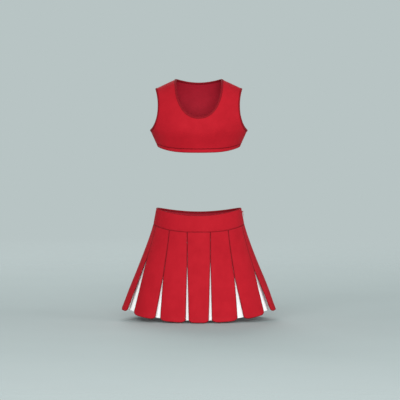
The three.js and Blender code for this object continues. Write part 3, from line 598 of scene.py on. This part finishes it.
RED = cloth_material(
    "red_double_knit", (171, 13, 30), (147, 9, 24), (183, 22, 38),
    rib=1.1 * MM, course=0.9 * MM, roughness=0.78, sheen=0.05, relief=0.5,
)
LINING = cloth_material(
    "red_tricot_lining", (165, 23, 42), (142, 17, 33), (177, 33, 51),
    rib=0.8 * MM, course=1.2 * MM, roughness=0.7, sheen=0.04, relief=0.35,
)
WHITE = cloth_material(
    "white_double_knit", (250, 250, 249), (238, 239, 240), (255, 255, 255),
    rib=1.1 * MM, course=0.9 * MM, roughness=0.75, sheen=0.05, relief=0.5, seam_shade=0.9,
)
BINDING = cloth_material(
    "red_binding", (134, 9, 24), (112, 6, 19), (148, 14, 30),
    rib=0.9 * MM, course=0.9 * MM, roughness=0.8, sheen=0.0, relief=0.5, seam_shade=0.8,
)
STIFFENER = cloth_material(
    "fused_stiffener", (232, 228, 218), (208, 203, 192), (244, 241, 234),
    rib=1.6 * MM, course=1.6 * MM, roughness=0.85, sheen=0.05, relief=0.3, seam_shade=0.85,
)
ELASTIC = cloth_material(
    "ribbed_elastic", (240, 240, 238), (205, 205, 204), (250, 250, 250),
    rib=1.4 * MM, course=0.6 * MM, roughness=0.7, sheen=0.1, relief=0.8, seam_shade=0.85,
)
RED_THREAD = thread_material("red_thread", (158, 16, 32), (122, 10, 24))
WHITE_THREAD = thread_material("white_thread", (238, 238, 236), (206, 207, 208))
PLASTIC = hard_material(
    "zip_tooth_plastic", (176, 28, 43), (140, 20, 34), metallic=0.0, roughness=0.42, scratch_scale=900,
)
METAL = hard_material(
    "nickel", (198, 200, 203), (150, 152, 156), metallic=1.0, roughness=0.28, scratch_scale=1200,
)
LACQUER = hard_material(
    "lacquered_metal", (150, 12, 28), (118, 9, 22), metallic=0.0, roughness=0.5, scratch_scale=1200,
)


# ---- skirt shape


def dip(angle, power):
    """1 at the centre front and back and 0 at the sides."""
    return 1 - abs(np.sin(angle)) ** power


def on_ellipse(half_width, half_depth, angle, z):
    return points(half_width * np.sin(angle), -half_depth * np.cos(angle), z)


def seam_height(angle):
    return -(YOKE_SIDE_HEIGHT + YOKE_SEAM_DIP * dip(angle, 3))


def yoke_surface(angle, v):
    """The yoke's outer face, v from 0 at the waist edge to 1 at the yoke seam."""
    z = lerp(-WAIST_DIP * dip(angle, 2), seam_height(angle), v)
    ease = 0.35 * MM * ripple(angle * 0.13, z, 3, 0.05)
    half_width, half_depth = lerp(WAIST[0], SEAM[0], v), lerp(WAIST[1], SEAM[1], v)
    return on_ellipse(half_width + ease * abs(np.cos(angle)), half_depth + ease, angle, z)


def hang(v):
    return v - HIP_HOLLOW * v * (1 - v) ** 3


def skirt_size(v):
    return lerp(SEAM[0], HEM[0], hang(v)), lerp(SEAM[1], HEM[1], hang(v))


def skirt_surface(angle, v):
    """The surface that the pleats hang on, v from 0 at the yoke seam to 1 at the hem."""
    sideways = (HEM[0] - SEAM[0]) * np.sin(angle)
    forwards = (HEM[1] - SEAM[1]) * np.cos(angle)
    drop = np.sqrt(PANEL_LENGTH**2 - sideways**2 - forwards**2)
    return on_ellipse(*skirt_size(v), angle, seam_height(angle) - v * drop)


def girth_as_angle(distance, angle, v):
    half_width, half_depth = skirt_size(v)
    return distance / np.hypot(half_width * np.cos(angle), half_depth * np.sin(angle))


class Pleat:
    """A pleat line. Its base angle is mirrored to the side and the back by sign and offset."""

    def __init__(self, name, place, sign, offset):
        self.name = name
        self.seam_angle, self.hem_angle, self.hem_gap, opens_at, self.underlap = PLEATS[place]
        later, self.lies_back = WORN_PLEATS.get(name, (0, 0))
        self.opens_at = opens_at + later
        self.sign, self.offset = sign, offset

    def angle(self, v):
        seam_x = SEAM[0] * math.sin(math.radians(self.seam_angle))
        hem_x = HEM[0] * math.sin(math.radians(self.hem_angle))
        base = np.arcsin(np.minimum(1, lerp(seam_x, hem_x, hang(v)) / skirt_size(v)[0]))
        return self.sign * base + self.offset

    def half_gap(self, v, panel):
        """From the pleat line to a fold, of the panel after the line (1) or before it (-1)."""
        opened = np.maximum(0, v - self.opens_at) / (1 - self.opens_at)
        lies_back = self.lies_back if panel == self.sign else 0
        return (CLOSED_GAP + opened * self.hem_gap) / 2 + opened * lies_back


def all_pleats():
    ring = [Pleat(f"front_left_{p}", p, 1, 0) for p in ("inner", "middle", "outer")]
    ring += [Pleat("side_left", "side", 1, 0)]
    ring += [Pleat(f"back_left_{p}", p, -1, math.pi) for p in ("outer", "middle", "inner")]
    ring += [Pleat(f"back_right_{p}", p, 1, math.pi) for p in ("inner", "middle", "outer")]
    ring += [Pleat("side_right", "side", 1, math.pi)]
    ring += [Pleat(f"front_right_{p}", p, -1, 2 * math.pi) for p in ("outer", "middle", "inner")]
    return ring


PANELS = (
    "front_center", "front_left_inner", "front_left_outer", "side_left_front", "side_left_back",
    "back_left_outer", "back_left_inner", "back_center", "back_right_inner", "back_right_outer",
    "side_right_back", "side_right_front", "front_right_outer", "front_right_inner",
)


def panel_surface(before, after, turned_back, seed):
    """A panel's outer face, u across it and v down it."""

    def surface(u, v):
        middle = 2 * u - 1
        down = v * (1 - (CORNER_RISE / PANEL_LENGTH) * middle**6)
        start, end = before.angle(down) - turned_back, after.angle(down)
        first = start + girth_as_angle(before.half_gap(down, 1), start, down)
        last = end - girth_as_angle(after.half_gap(down, -1), end, down)
        angle = lerp(first, last, u)
        out = normal_of(skirt_surface, angle, down)
        bow = PANEL_BULGE * v * (1 - middle**2)
        sway = 1.5 * MM * abs(v) ** 1.3 * ripple(u * 0.1, v * 0.16, seed, 0.11)
        return skirt_surface(angle, down) + out * (bow + sway)[..., None]

    return surface


def seam_normal(angle):
    return normal_of(yoke_surface, angle, np.ones_like(angle))


def insert_surface(pleat, seed):
    """An insert's outer face behind its pleat line, u from -1 to 1 across it and v down it."""

    def surface(u, v):
        down = v * (1 - INSERT_HEM_RISE / PANEL_LENGTH)
        middle = pleat.angle(down)
        half_width = lerp(INSERT_TOP_HALF_WIDTH, pleat.hem_gap / 2 + pleat.underlap, v)
        angle = middle + girth_as_angle(u * half_width, middle, down)
        behind = OUTER_PLY + lerp(*PLEAT_DEPTH, v) + INSERT_LEAN * v * smooth_step(abs(u), 0.4, 1)
        sway = 0.6 * MM * abs(v) ** 1.3 * ripple(u * 0.05, v * 0.2, seed, 0.12)
        out = unit(lerp(seam_normal(angle), normal_of(skirt_surface, angle, down), v[..., None]))
        return skirt_surface(angle, down) + out * (sway - behind)[..., None]

    return surface


def pleat_sheet(surface, across, down):
    u, v = np.meshgrid(across, down)
    grid = surface(u, v)
    normals = normal_of(surface, u, v)
    normals[0] = seam_normal(np.arctan2(grid[0, :, 0] / SEAM[0], -grid[0, :, 1] / SEAM[1]))
    return Sheet(grid, normals), u, v


# ---- skirt

EDGE_STITCH = 4.5 * MM  # from a panel's fold
HEM_STITCH = 16 * MM  # from a panel's hem
INSERT_STITCH = 14 * MM  # from an insert's hem
INSERT_TURN_PLY = 1.9 * MM  # where its hem is turned up
ACROSS_PANEL = spaced([0.035, 0.06, 0.09], 17)
ACROSS_INSERT = 2 * spaced([0.06], 13) - 1
DOWN_PANEL = spaced([0.009, 0.02, 0.035], 46)


def yoke_over(name):
    in_front = "front" in name or name in ("side_left", "side_right")
    return "yoke_front_cloth" if in_front else "yoke_back_cloth"


def sunk_row(surface, at_u, at_v, depth):
    """A row of stitches drawn into a surface: its points, and the way out of the cloth."""
    out = normal_of(surface, at_u, at_v)
    return surface(at_u, at_v) - out * depth, out


def add_panel(name, before, after, turned_back, seed):
    surface = panel_surface(before, after, turned_back, seed)
    sheet, u, v = pleat_sheet(surface, ACROSS_PANEL, DOWN_PANEL)
    width = np.ptp(row_lengths(sheet.points.reshape(*u.shape, 3)), axis=1)[:, None]
    from_fold = np.minimum(u, 1 - u) * width
    from_hem = (1 - v) * PANEL_LENGTH
    folded = 1 - smooth_step(from_fold, 6 * MM, 9 * MM)
    turned = np.maximum(folded, 1 - smooth_step(from_hem, 18 * MM, 21 * MM))
    stitched = hump(from_fold, EDGE_STITCH, 1.6 * MM) + hump(from_hem, HEM_STITCH, 2.2 * MM)
    outer = -0.22 * MM * np.minimum(stitched, 1)
    inner = -lerp(OUTER_PLY, FOLD_PLY, turned)
    node = f"panel_{name}"
    built = sheet.solid(outer, inner)
    stand_in(node, built, RED, node, sheet.flat, [yoke_over(name)], sheet.area())
    at_v = np.linspace(0.012, 1 - 5 * MM / PANEL_LENGTH, 90)
    share = EDGE_STITCH / np.interp(at_v, v[:, 0], width[:, 0])
    paths = [sunk_row(surface, abs(side - share), at_v, 0.2 * MM) for side in (0, 1)]
    at_u = np.linspace(0.02, 0.98, 60)
    paths.append(sunk_row(surface, at_u, np.full_like(at_u, 1 - HEM_STITCH / PANEL_LENGTH), 0.2 * MM))
    stitches(f"{node}_stitching", paths, RED_THREAD, node)


def add_insert(pleat, seed):
    surface = insert_surface(pleat, seed)
    sheet, _, v = pleat_sheet(surface, ACROSS_INSERT, DOWN_PANEL)
    from_hem = (1 - v) * PANEL_LENGTH
    turned = 1 - smooth_step(from_hem, 16 * MM, 19 * MM)
    outer = -0.2 * MM * hump(from_hem, INSERT_STITCH, 2.0 * MM)
    inner = -lerp(LINING_PLY, INSERT_TURN_PLY, turned)
    node = f"insert_{pleat.name}"
    built = sheet.solid(outer, inner)
    yoke = yoke_over(pleat.name)
    stand_in(node, built, WHITE, node, sheet.flat, [yoke], sheet.area())
    at_u = np.linspace(-0.95, 0.95, 50)
    row = sunk_row(surface, at_u, np.full_like(at_u, 1 - INSERT_STITCH / PANEL_LENGTH), 0.15 * MM)
    stitches(f"{node}_stitching", [row], WHITE_THREAD, node)


def add_pleats():
    pleats = all_pleats()
    for i, name in enumerate(PANELS):
        add_panel(name, pleats[i - 1], pleats[i], 0 if i else 2 * math.pi, 11 + i)
    for i, pleat in enumerate(pleats):
        add_insert(pleat, 41 + i)


INTERFACING_DEPTH = OUTER_PLY + LAYER_GAP
YOKE_LINING_DEPTH = INTERFACING_DEPTH + INTERFACING_PLY + LAYER_GAP
YOKE_DEPTH = YOKE_LINING_DEPTH + LINING_PLY
YOKE_TURN = 5 * MM  # how far the outer cloth is turned over the waist edge


def yoke_ends(half):
    zip_edge = QUARTER - ZIP_SLIT / 2 / WAIST[1]
    return (-QUARTER, zip_edge) if half == "front" else (math.pi - zip_edge, math.pi + QUARTER)


def yoke_frames(half, count=150):
    """Frames along half the waist edge: points, straight down the cloth, out of it, and its height."""
    angle = np.linspace(*yoke_ends(half), count)
    top = yoke_surface(angle, np.zeros(count))
    drop = yoke_surface(angle, np.ones(count)) - top
    out = normal_of(yoke_surface, angle, np.full(count, 0.5))
    return top, unit(drop), out, np.linalg.norm(drop, axis=1)


def yoke_section(tall):
    """The outer cloth from its lip at the yoke seam, up, over the waist edge and down inside."""
    ply = OUTER_PLY - 0.1 * MM
    outer, inner = -ply / 2, -YOKE_DEPTH + ply / 2
    high = (YOKE_DEPTH - ply) / 2 + ply / 2
    face = turned_path((tall - 2.6 * MM, outer), (high, outer), (high, inner), (YOKE_TURN, inner))
    turn = np.linspace(0, 1, 7)[:-1]
    lip = outer - 1.3 * MM * (1 - smooth_step(turn, 0.1, 1))
    seam_turn = np.column_stack([tall + 0.9 * MM - 3.5 * MM * turn, lip])
    return strip(np.concatenate([seam_turn, face]), ply)


def add_yoke_layer(half, kind, depth, ply, start, material):
    """A layer inside the yoke's outer cloth."""
    top, down, out, height = yoke_frames(half)
    rows = np.linspace(start, height.mean() - 3.2 * MM, 12)[:, None]
    grid = top + down * rows[..., None]
    sheet = Sheet(grid, np.broadcast_to(out, grid.shape))
    built = sheet.solid(-depth, -depth - ply)
    node, under = f"yoke_{kind}_{half}", [f"yoke_{half}_cloth"]
    stand_in(node, built, material, "yoke", sheet.flat, under, sheet.area())


def add_yoke_half(half):
    top, down, out, height = yoke_frames(half)
    sections = np.array([yoke_section(tall) for tall in height])
    flat = (float(travelled(top)[-1]) * 1.04, float(height.mean()) + YOKE_TURN)
    built = sweep(top, down, out, sections, False)
    stand_in(f"yoke_{half}", built, RED, "yoke", flat, [])
    add_yoke_layer(
        half, "interfacing", INTERFACING_DEPTH, INTERFACING_PLY, YOKE_TURN + 3 * MM, STIFFENER,
    )
    add_yoke_layer(
        half, "lining", YOKE_LINING_DEPTH, LINING_PLY, YOKE_TURN + 0.75 * MM, LINING,
    )
    paths = []
    for below in (6 * MM, height - 3.5 * MM):
        row = top + down * np.broadcast_to(below, height.shape)[:, None]
        paths.append((row[4:-4], out[4:-4]))
    stitches(f"yoke_{half}_stitching", paths, RED_THREAD, "yoke")


def seam_sheet(side, near, far, rows):
    """Part of the yoke between two distances from a side seam, positive towards the back."""
    across, down = np.meshgrid(np.linspace(near, far, 15), np.linspace(*rows, 14))
    angle = side * (QUARTER + across / lerp(WAIST[1], SEAM[1], down))
    return Sheet(yoke_surface(angle, down), normal_of(yoke_surface, angle, down)), across


def add_yoke_trims():
    """The zip's tapes, with a guard beside the front one that lies inside the slider, and the label."""
    zip_rows = (0.23, 0.99)
    inner = -YOKE_DEPTH - LAYER_GAP
    for half, side in (("front", -1), ("back", 1)):
        tape, _ = seam_sheet(1, side * ZIP_SLIT / 2, side * (ZIP_SLIT / 2 + TAPE_WIDTH), zip_rows)
        built, flat, area = tape.solid(inner, inner - TAPE_PLY), tape.flat, tape.area()
        if half == "front":
            guard, across = seam_sheet(1, -12 * MM, 5 * MM, zip_rows)
            behind = lerp(inner - 0.6 * MM, -7.5 * MM, smooth_step(across, -11 * MM, -5 * MM))
            built = together(built, guard.solid(behind, behind - 0.5 * MM))
            flat, area = (flat[0] + guard.flat[0], flat[1]), area + guard.area()
        under = [f"yoke_lining_{half}_cloth"]
        stand_in(f"zip_tape_{half}", built, LINING, "yoke", flat, under, area)
    label_rows = [end / YOKE_SIDE_HEIGHT for end in LABEL_ENDS]
    label, _ = seam_sheet(-1, -LABEL_WIDTH / 2, LABEL_WIDTH / 2, label_rows)
    built = label.solid(inner - LAYER_GAP, inner - LAYER_GAP - LABEL_PLY)
    under = ["yoke_lining_front_cloth"]
    area = label.area()
    stand_in("care_label", built, WHITE, "yoke", label.flat, under, area)


# ---- top shape


def ridge_height(x):
    return RIDGE_TOP_Z - RIDGE_SLOPE * (np.hypot(x, RIDGE_ROUNDING) - RIDGE_ROUNDING)


def body_half_width(z):
    slope = (CHEST_HALF_WIDTH - TOP_HEM_HALF_WIDTH) / (ARMPIT_Z - TOP_HEM_Z)
    above = z - ARMPIT_Z
    shoulders = SHOULDER_GAIN * (1 - np.exp(-slope * np.maximum(above, 0) / SHOULDER_GAIN))
    return CHEST_HALF_WIDTH + np.where(above < 0, slope * above, shoulders)


def body_depth(half, z):
    lowest = TOP_HEM_Z - HEM_DIP["front"]
    return lerp(*DEPTHS[half], smooth_step(z, lowest, lowest + CHEST_RISE))


def cloth_ease(half, x, z):
    """How far the worn cloth stands off its plain shape: bust, drag lines and waves over the hem."""
    side = abs(x)
    waves = 1.3 * MM * ripple(x, z * 0.35, 5 if half == "front" else 6, 0.075)
    waves = waves * (1 - smooth_step(z, 0.2, 0.27))
    slack = 0.7 * MM * ripple(x, z, 8 if half == "front" else 9, 0.06)
    drag = 0
    for reach, rise, depth in ((0.0, 0.10, 1.4), (0.022, 0.22, 1.2), (-0.02, -0.06, 1.0)):
        line = z - (ARMPIT_Z + reach + rise * (side - 0.15))
        fold = depth * MM * np.sin(line / 0.0075) * hump(line, 0, 0.02)
        drag = drag + fold * smooth_step(side, 0.07, 0.14)
    bust = 0
    if half == "front":
        bust = 4 * MM * hump(side, 0.068, 0.045) * hump(z, 0.272, 0.035)
    return waves + slack + drag + bust


def outwards(half):
    return -1 if half == "front" else 1


def torso_surface(half):
    """The top's outer face, by the angles round the body and over the shoulder."""

    def surface(round_, over):
        round_, over = np.broadcast_arrays(np.asarray(round_, float), np.asarray(over, float))
        rise = np.where(over > 0, np.sin(over), over)
        thinning = np.where(over > 0, np.cos(over), 1)
        x, z = np.zeros(rise.shape), np.full(rise.shape, ARMPIT_Z)
        for _ in range(16):
            z = ARMPIT_Z + rise * (ridge_height(x) - ARMPIT_Z)
            x = body_half_width(z) * np.sin(round_)
        depth = body_depth(half, z) * thinning + cloth_ease(half, x, z) * thinning
        return points(x, outwards(half) * depth * np.cos(round_), z)

    return surface


def on_torso(x, z):
    rise = (z - ARMPIT_Z) / (ridge_height(x) - ARMPIT_Z)
    over = np.where(rise > 0, np.arcsin(np.clip(rise, -1, 1)), rise)
    return np.arcsin(np.minimum(1, x / body_half_width(z))), over


NECK_TOP_Z = ridge_height(NECK_HALF_WIDTH)
SHOULDER_TIP_Z = ridge_height(SHOULDER_TIP_X)


def neckline(half, s):
    if half == "back":
        return on_torso(NECK_HALF_WIDTH * s, NECK_TOP_Z - BACK_NECK_DIP * (1 - s * s))
    power = 2 / NECK_SQUARENESS
    x = NECK_HALF_WIDTH * np.sin(s * QUARTER) ** power
    scoop = np.maximum(np.cos(s * QUARTER), 0) ** power
    return on_torso(x, NECK_TOP_Z - (NECK_TOP_Z - FRONT_NECK_Z) * scoop)


def armhole(s):
    knots = np.array([
        (CHEST_HALF_WIDTH, ARMPIT_Z), (CHEST_HALF_WIDTH - 23 * MM, ARMPIT_Z + 16 * MM),
        (SHOULDER_TIP_X - 17 * MM, SHOULDER_TIP_Z - 47.6 * MM), (SHOULDER_TIP_X, SHOULDER_TIP_Z),
    ])
    shares = np.stack([(1 - s) ** 3, 3 * s * (1 - s) ** 2, 3 * s**2 * (1 - s), s**3], axis=-1)
    x, z = (shares @ knots).T
    round_, over = on_torso(x, z)
    return round_, np.where(s >= 1, QUARTER, over)


def evenly(half, stretch, count):
    """Places evenly spaced along a stretch of the torso surface."""
    round_, over = stretch(np.linspace(0, 1, 500))
    way = travelled(torso_surface(half)(round_, over))
    wanted = np.linspace(0, way[-1], count + 1)
    return np.interp(wanted, way, round_), np.interp(wanted, way, over)


def hem_frame(half, round_):
    surface = torso_surface(half)
    z = TOP_HEM_Z - HEM_DIP[half] * dip(round_, 4)
    over = (z - ARMPIT_Z) / (ridge_height(body_half_width(z) * np.sin(round_)) - ARMPIT_Z)
    out = normal_of(surface, round_, over, outwards(half))
    upwards = surface(round_, over + STEP) - surface(round_, over - STEP)
    up = unit(upwards - out * (upwards * out).sum(-1, keepdims=True))
    return surface(round_, over), up, out


def band_seam(half, round_):
    at, up, _ = hem_frame(half, round_)
    z = at[..., 2] + (BAND_HEIGHT + SEAM_GAP) * up[..., 2]
    return (z - ARMPIT_Z) / (ridge_height(at[..., 0]) - ARMPIT_Z)


BODICE_ROWS = 66
NECK_ROWS = {"front": 40, "back": 22}
ARMHOLE_ROWS = 50


def bodice_sheet(half):
    low_centre, low_side = (float(band_seam(half, np.array(round_))) for round_ in (0.0, QUARTER))
    neck_low = float(neckline(half, np.array(0.0))[1])
    centre = evenly(half, lambda s: (0 * s, lerp(low_centre, neck_low, s)), BODICE_ROWS - NECK_ROWS[half])
    side = evenly(half, lambda s: (0 * s + QUARTER, lerp(low_side, 0, s)), BODICE_ROWS - ARMHOLE_ROWS)
    neck = evenly(half, lambda s: neckline(half, s), NECK_ROWS[half])
    arm = evenly(half, armhole, ARMHOLE_ROWS)
    inner = [np.concatenate([centre[i], neck[i][1:]]) for i in (0, 1)]
    outer = [np.concatenate([side[i], arm[i][1:]]) for i in (0, 1)]
    across = np.concatenate([np.linspace(0, 0.95, 30), [0.975, 1]])
    round_ = lerp(inner[0][:, None], outer[0][:, None], across)
    over = lerp(inner[1][:, None], outer[1][:, None], across)
    over[:8] += (band_seam(half, round_[0]) - over[0]) * np.linspace(1, 0, 8)[:, None]
    surface = torso_surface(half)
    grid = surface(round_, over)
    normals = normal_of(surface, round_, over, outwards(half))
    return mirrored(grid, normals, BODICE_ROWS - NECK_ROWS[half] + 1)


BODICE_LINING_DEPTH = OUTER_PLY + LAYER_GAP
BODICE_DEPTH = BODICE_LINING_DEPTH + LINING_PLY


def add_bodice_half(half):
    sheet = bodice_sheet(half)
    low, high = sheet.points.min(0), sheet.points.max(0)
    flat = (float(high[0] - low[0]) * 1.2, float(high[2] - low[2]) * 1.15)
    area = sheet.area()
    built = sheet.solid(0, -OUTER_PLY)
    stand_in(f"bodice_{half}", built, RED, "cropped_top", flat, [], area)
    built = sheet.solid(-BODICE_LINING_DEPTH, -BODICE_DEPTH)
    under = [f"bodice_{half}_cloth"]
    stand_in(f"bodice_lining_{half}", built, LINING, "cropped_top", flat, under, area)


# ---- top trims


def opening_frames(places, middle):
    """Frames round an opening's edge, across pointing off the cloth towards its middle."""
    at, out = [], []
    for half, side, round_, over in places:
        surface = torso_surface(half)
        at.append(surface(round_ * side, over))
        out.append(normal_of(surface, round_ * side, over, outwards(half)))
    at, out = np.concatenate(at), np.concatenate(out)
    along = unit(np.roll(at, -1, axis=0) - np.roll(at, 1, axis=0))
    across = unit(np.cross(along, out))
    flip = (across * (np.array(middle) - at)).sum(1) < 0
    across[flip] *= -1
    return at, across, out


def binding_section():
    ply = 0.9 * MM
    outer, inner = 0.1 * MM + ply / 2, -BODICE_DEPTH - 0.1 * MM - ply / 2
    fold = -0.6 * MM
    path = turned_path((-BINDING_WIDTH, outer), (fold, outer), (fold, inner), (-BINDING_WIDTH, inner))
    return strip(path, ply)


def add_binding(node, frames, stitched_at):
    at, across, out = frames
    section = binding_section()
    built = sweep(at, across, out, section, True)
    flat = (float(travelled(at)[-1]), max(float(travelled(section)[-1]) / 2, 10.5 * MM))
    under = ["bodice_front_cloth", "bodice_back_cloth"]
    stand_in(node, built, BINDING, "cropped_top", flat, under)
    path = at + across * stitched_at + out * 1.0 * MM
    path, out = np.concatenate([path, path[:1]]), np.concatenate([out, out[:1]])
    stitches(f"{node}_stitching", [(path, out)], RED_THREAD, "cropped_top", FINE_PITCH)


def add_bindings():
    front = evenly("front", lambda s: neckline("front", s), 70)
    back = evenly("back", lambda s: neckline("back", s), 34)
    places = [
        ("front", 1, front[0], front[1]),
        ("back", 1, back[0][-2::-1], back[1][-2::-1]),
        ("back", -1, back[0][1:], back[1][1:]),
        ("front", -1, front[0][-2:0:-1], front[1][-2:0:-1]),
    ]
    frames = opening_frames(places, (0, 0, NECK_TOP_Z))
    add_binding("neck_binding", frames, -3 * MM)
    front, back = evenly("front", armhole, 60), evenly("back", armhole, 60)
    for name, side in (("left", 1), ("right", -1)):
        places = [("front", side, *front), ("back", side, back[0][-2:0:-1], back[1][-2:0:-1])]
        middle = (side * SHOULDER_TIP_X, 0, (ARMPIT_Z + SHOULDER_TIP_Z) / 2)
        add_binding(f"armhole_binding_{name}", opening_frames(places, middle), -3 * MM)


BAND_DEPTH = BODICE_DEPTH + LAYER_GAP
BAND_PLY = 0.8 * MM
ELASTIC_WIDTH = 10 * MM


def add_hem_band(half):
    round_ = np.linspace(-QUARTER, QUARTER, 260)
    at, up, out = hem_frame(half, round_)
    outer, inner = -BAND_PLY / 2, -BODICE_DEPTH - 0.15 * MM - BAND_PLY / 2
    radius = (outer - inner) / 2
    low = radius + BAND_PLY / 2
    high = BAND_HEIGHT - BAND_PLY / 2
    ends = (BAND_HEIGHT - 0.9 * MM, outer), (BAND_HEIGHT + 3 * MM, inner)
    path = turned_path(ends[0], (low, outer), (low, inner), ends[1])
    top = [(high, inner + 1.2 * MM), (high, outer - 0.6 * MM), (BAND_HEIGHT - 0.55 * MM, outer - 0.15 * MM)]
    section = strip(np.concatenate([top, path]), BAND_PLY)
    sections = np.repeat(section[None], len(at), axis=0)
    way = travelled(at)
    gathers = 0.22 * MM * ripple(way, 0 * way, 21, 0.012)
    bulge = hump(section[:, 0], BAND_HEIGHT / 2, 4 * MM) * (section[:, 1] > inner / 2)
    sections[..., 1] += gathers[:, None] * bulge
    built = sweep(at, up, out, sections, False)
    flat, under = (float(way[-1]), 2 * BAND_HEIGHT + 6 * MM), [f"bodice_{half}_cloth"]
    stand_in(f"hem_band_{half}", built, RED, "cropped_top", flat, under)
    paths = [(at + up * 9.6 * MM, out), (at + up * (BAND_HEIGHT + 2.6 * MM), out)]
    trimmed = [(p[3:-3], o[3:-3]) for p, o in paths]
    stitches(f"hem_band_{half}_stitching", trimmed, RED_THREAD, "cropped_top", FINE_PITCH)


def add_hem_elastic():
    front, back = (hem_frame(half, np.linspace(-QUARTER, QUARTER, 160)) for half in ("front", "back"))
    at, up, out = (np.concatenate([f, b[-2:0:-1]]) for f, b in zip(front, back))
    low, high, middle = 2 * MM, BAND_HEIGHT - 2 * MM, -BAND_DEPTH / 2
    path = straight((low, middle), (high, middle), 9)
    built = sweep(at, up, out, strip(path, 0.5 * MM), True)
    flat, under = (float(travelled(at)[-1]), ELASTIC_WIDTH), ["hem_band_front_cloth", "hem_band_back_cloth"]
    area = 0.8 * flat[0] * flat[1]
    stand_in("hem_elastic", built, ELASTIC, "cropped_top", flat, under, area)


STAY_WIDTH = 10 * MM


def add_shoulder_stays():
    x = np.linspace(NECK_HALF_WIDTH + BINDING_WIDTH + 1 * MM, SHOULDER_TIP_X - BINDING_WIDTH - 1 * MM, 24)
    slope = (ridge_height(x + STEP) - ridge_height(x - STEP)) / (2 * STEP)
    middle = -BODICE_DEPTH - 1.3 * MM
    section = strip(straight((-2.7 * MM, middle), (2.7 * MM, middle), 7), 0.6 * MM)
    for name, side in (("left", 1), ("right", -1)):
        at = points(side * x, 0 * x, ridge_height(x))
        out = unit(points(-side * slope, 0 * x, 1 + 0 * x))
        across = points(0 * x, 1 + 0 * x, 0 * x)
        built = sweep(at, across, out, section, False)
        flat, under = (float(travelled(at)[-1]), STAY_WIDTH), ["bodice_lining_front_cloth"]
        area = 0.6 * flat[0] * flat[1]
        node = f"shoulder_tape_{name}"
        stand_in(node, built, WHITE, "cropped_top", flat, under, area)


# ---- fittings


def dress_fittings():
    """The zip's and the hook's CAD pieces, with worn metal or moulded plastic and broken edges."""
    for node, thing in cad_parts.items():
        if not node.startswith(("zip_teeth", "zip_bottom", "zip_slider", "zip_pull", "waist_")):
            continue
        thing.data.materials.clear()
        if "teeth" in node:
            thing.data.materials.append(PLASTIC)
        else:
            thing.data.materials.append(METAL if node.startswith("waist_") else LACQUER)
        bevel = thing.modifiers.new("broken_edges", "BEVEL")
        bevel.width = 0.12 * MM
        bevel.segments = 2
        bevel.limit_method = "ANGLE"
        bevel.angle_limit = math.radians(50)


# ---- studio


def add_floor():
    """A plain pale floor that fades into the backdrop's colour."""
    radius = 5.0
    mesh = bpy.data.meshes.new("floor")
    turns = np.linspace(0, 2 * math.pi, 96, endpoint=False)
    z = cad_box[0].z - 2 * MM
    ring = [(radius * math.cos(t), radius * math.sin(t), z) for t in turns]
    mesh.from_pydata(ring, [], [tuple(range(len(ring)))])
    n = Nodes("pale_floor")
    length = n.add("ShaderNodeVectorMath", {0: n.solid}, operation="LENGTH")
    n.surface(
        Base_Color=n.mix(n.noise(3, 3), srgb(162, 171, 171), srgb(157, 166, 166)),
        Roughness=0.9,
        Alpha=n.spread(length.outputs["Value"], 0.7, 3.6, 1.0, 0.0),
    )
    mesh.materials.append(n.material)
    placed("floor", mesh)


def add_light(name, place, aim, power, size):
    light = bpy.data.lights.new(name, "AREA")
    light.shape = "DISK"
    light.size = size
    light.energy = power
    lamp = placed(name, light)
    lamp.location = place
    lamp.rotation_euler = (Vector(aim) - Vector(place)).to_track_quat("-Z", "Y").to_euler()


def add_studio():
    scene = bpy.context.scene
    scene.view_settings.view_transform = "Standard"
    world = bpy.data.worlds.new("studio")
    world.use_nodes = True
    world.node_tree.nodes["Background"].inputs["Color"].default_value = srgb(184, 196, 196)
    scene.world = world
    add_floor()
    middle = (cad_box[0] + cad_box[1]) / 2
    add_light("key", (-1.9, -3.4, 2.6), middle, 50, 2.0)
    add_light("front", (0.3, -5.0, 0.7), middle, 185, 2.2)
    add_light("side", (3.6, -1.6, 1.2), middle, 40, 2.6)
    add_light("back", (-0.6, 4.4, 2.2), middle, 110, 3.0)


def add_camera():
    """Straight on to the wearer's front and slightly above, from far off, as in the reference."""
    distance, elevation, view_width = 16.0, math.radians(3.9), 1.32
    camera = bpy.data.cameras.new("camera")
    camera.lens = camera.sensor_width * distance / view_width
    camera.clip_start, camera.clip_end = 0.5, 100
    middle = (cad_box[0] + cad_box[1]) / 2 + Vector((3.9 * MM, 0, -4.3 * MM))
    back = Vector((0, -math.cos(elevation), math.sin(elevation)))
    eye = placed("camera", camera)
    eye.location = middle + back * distance
    eye.rotation_euler = (-back).to_track_quat("-Z", "Y").to_euler()
    bpy.context.scene.camera = eye


# ---- assembly

add_pleats()
for garment_half in ("front", "back"):
    add_yoke_half(garment_half)
    add_bodice_half(garment_half)
    add_hem_band(garment_half)
add_yoke_trims()
add_bindings()
add_hem_elastic()
add_shoulder_stays()
dress_fittings()
add_studio()
add_camera()

bpy.context.view_layer.update()
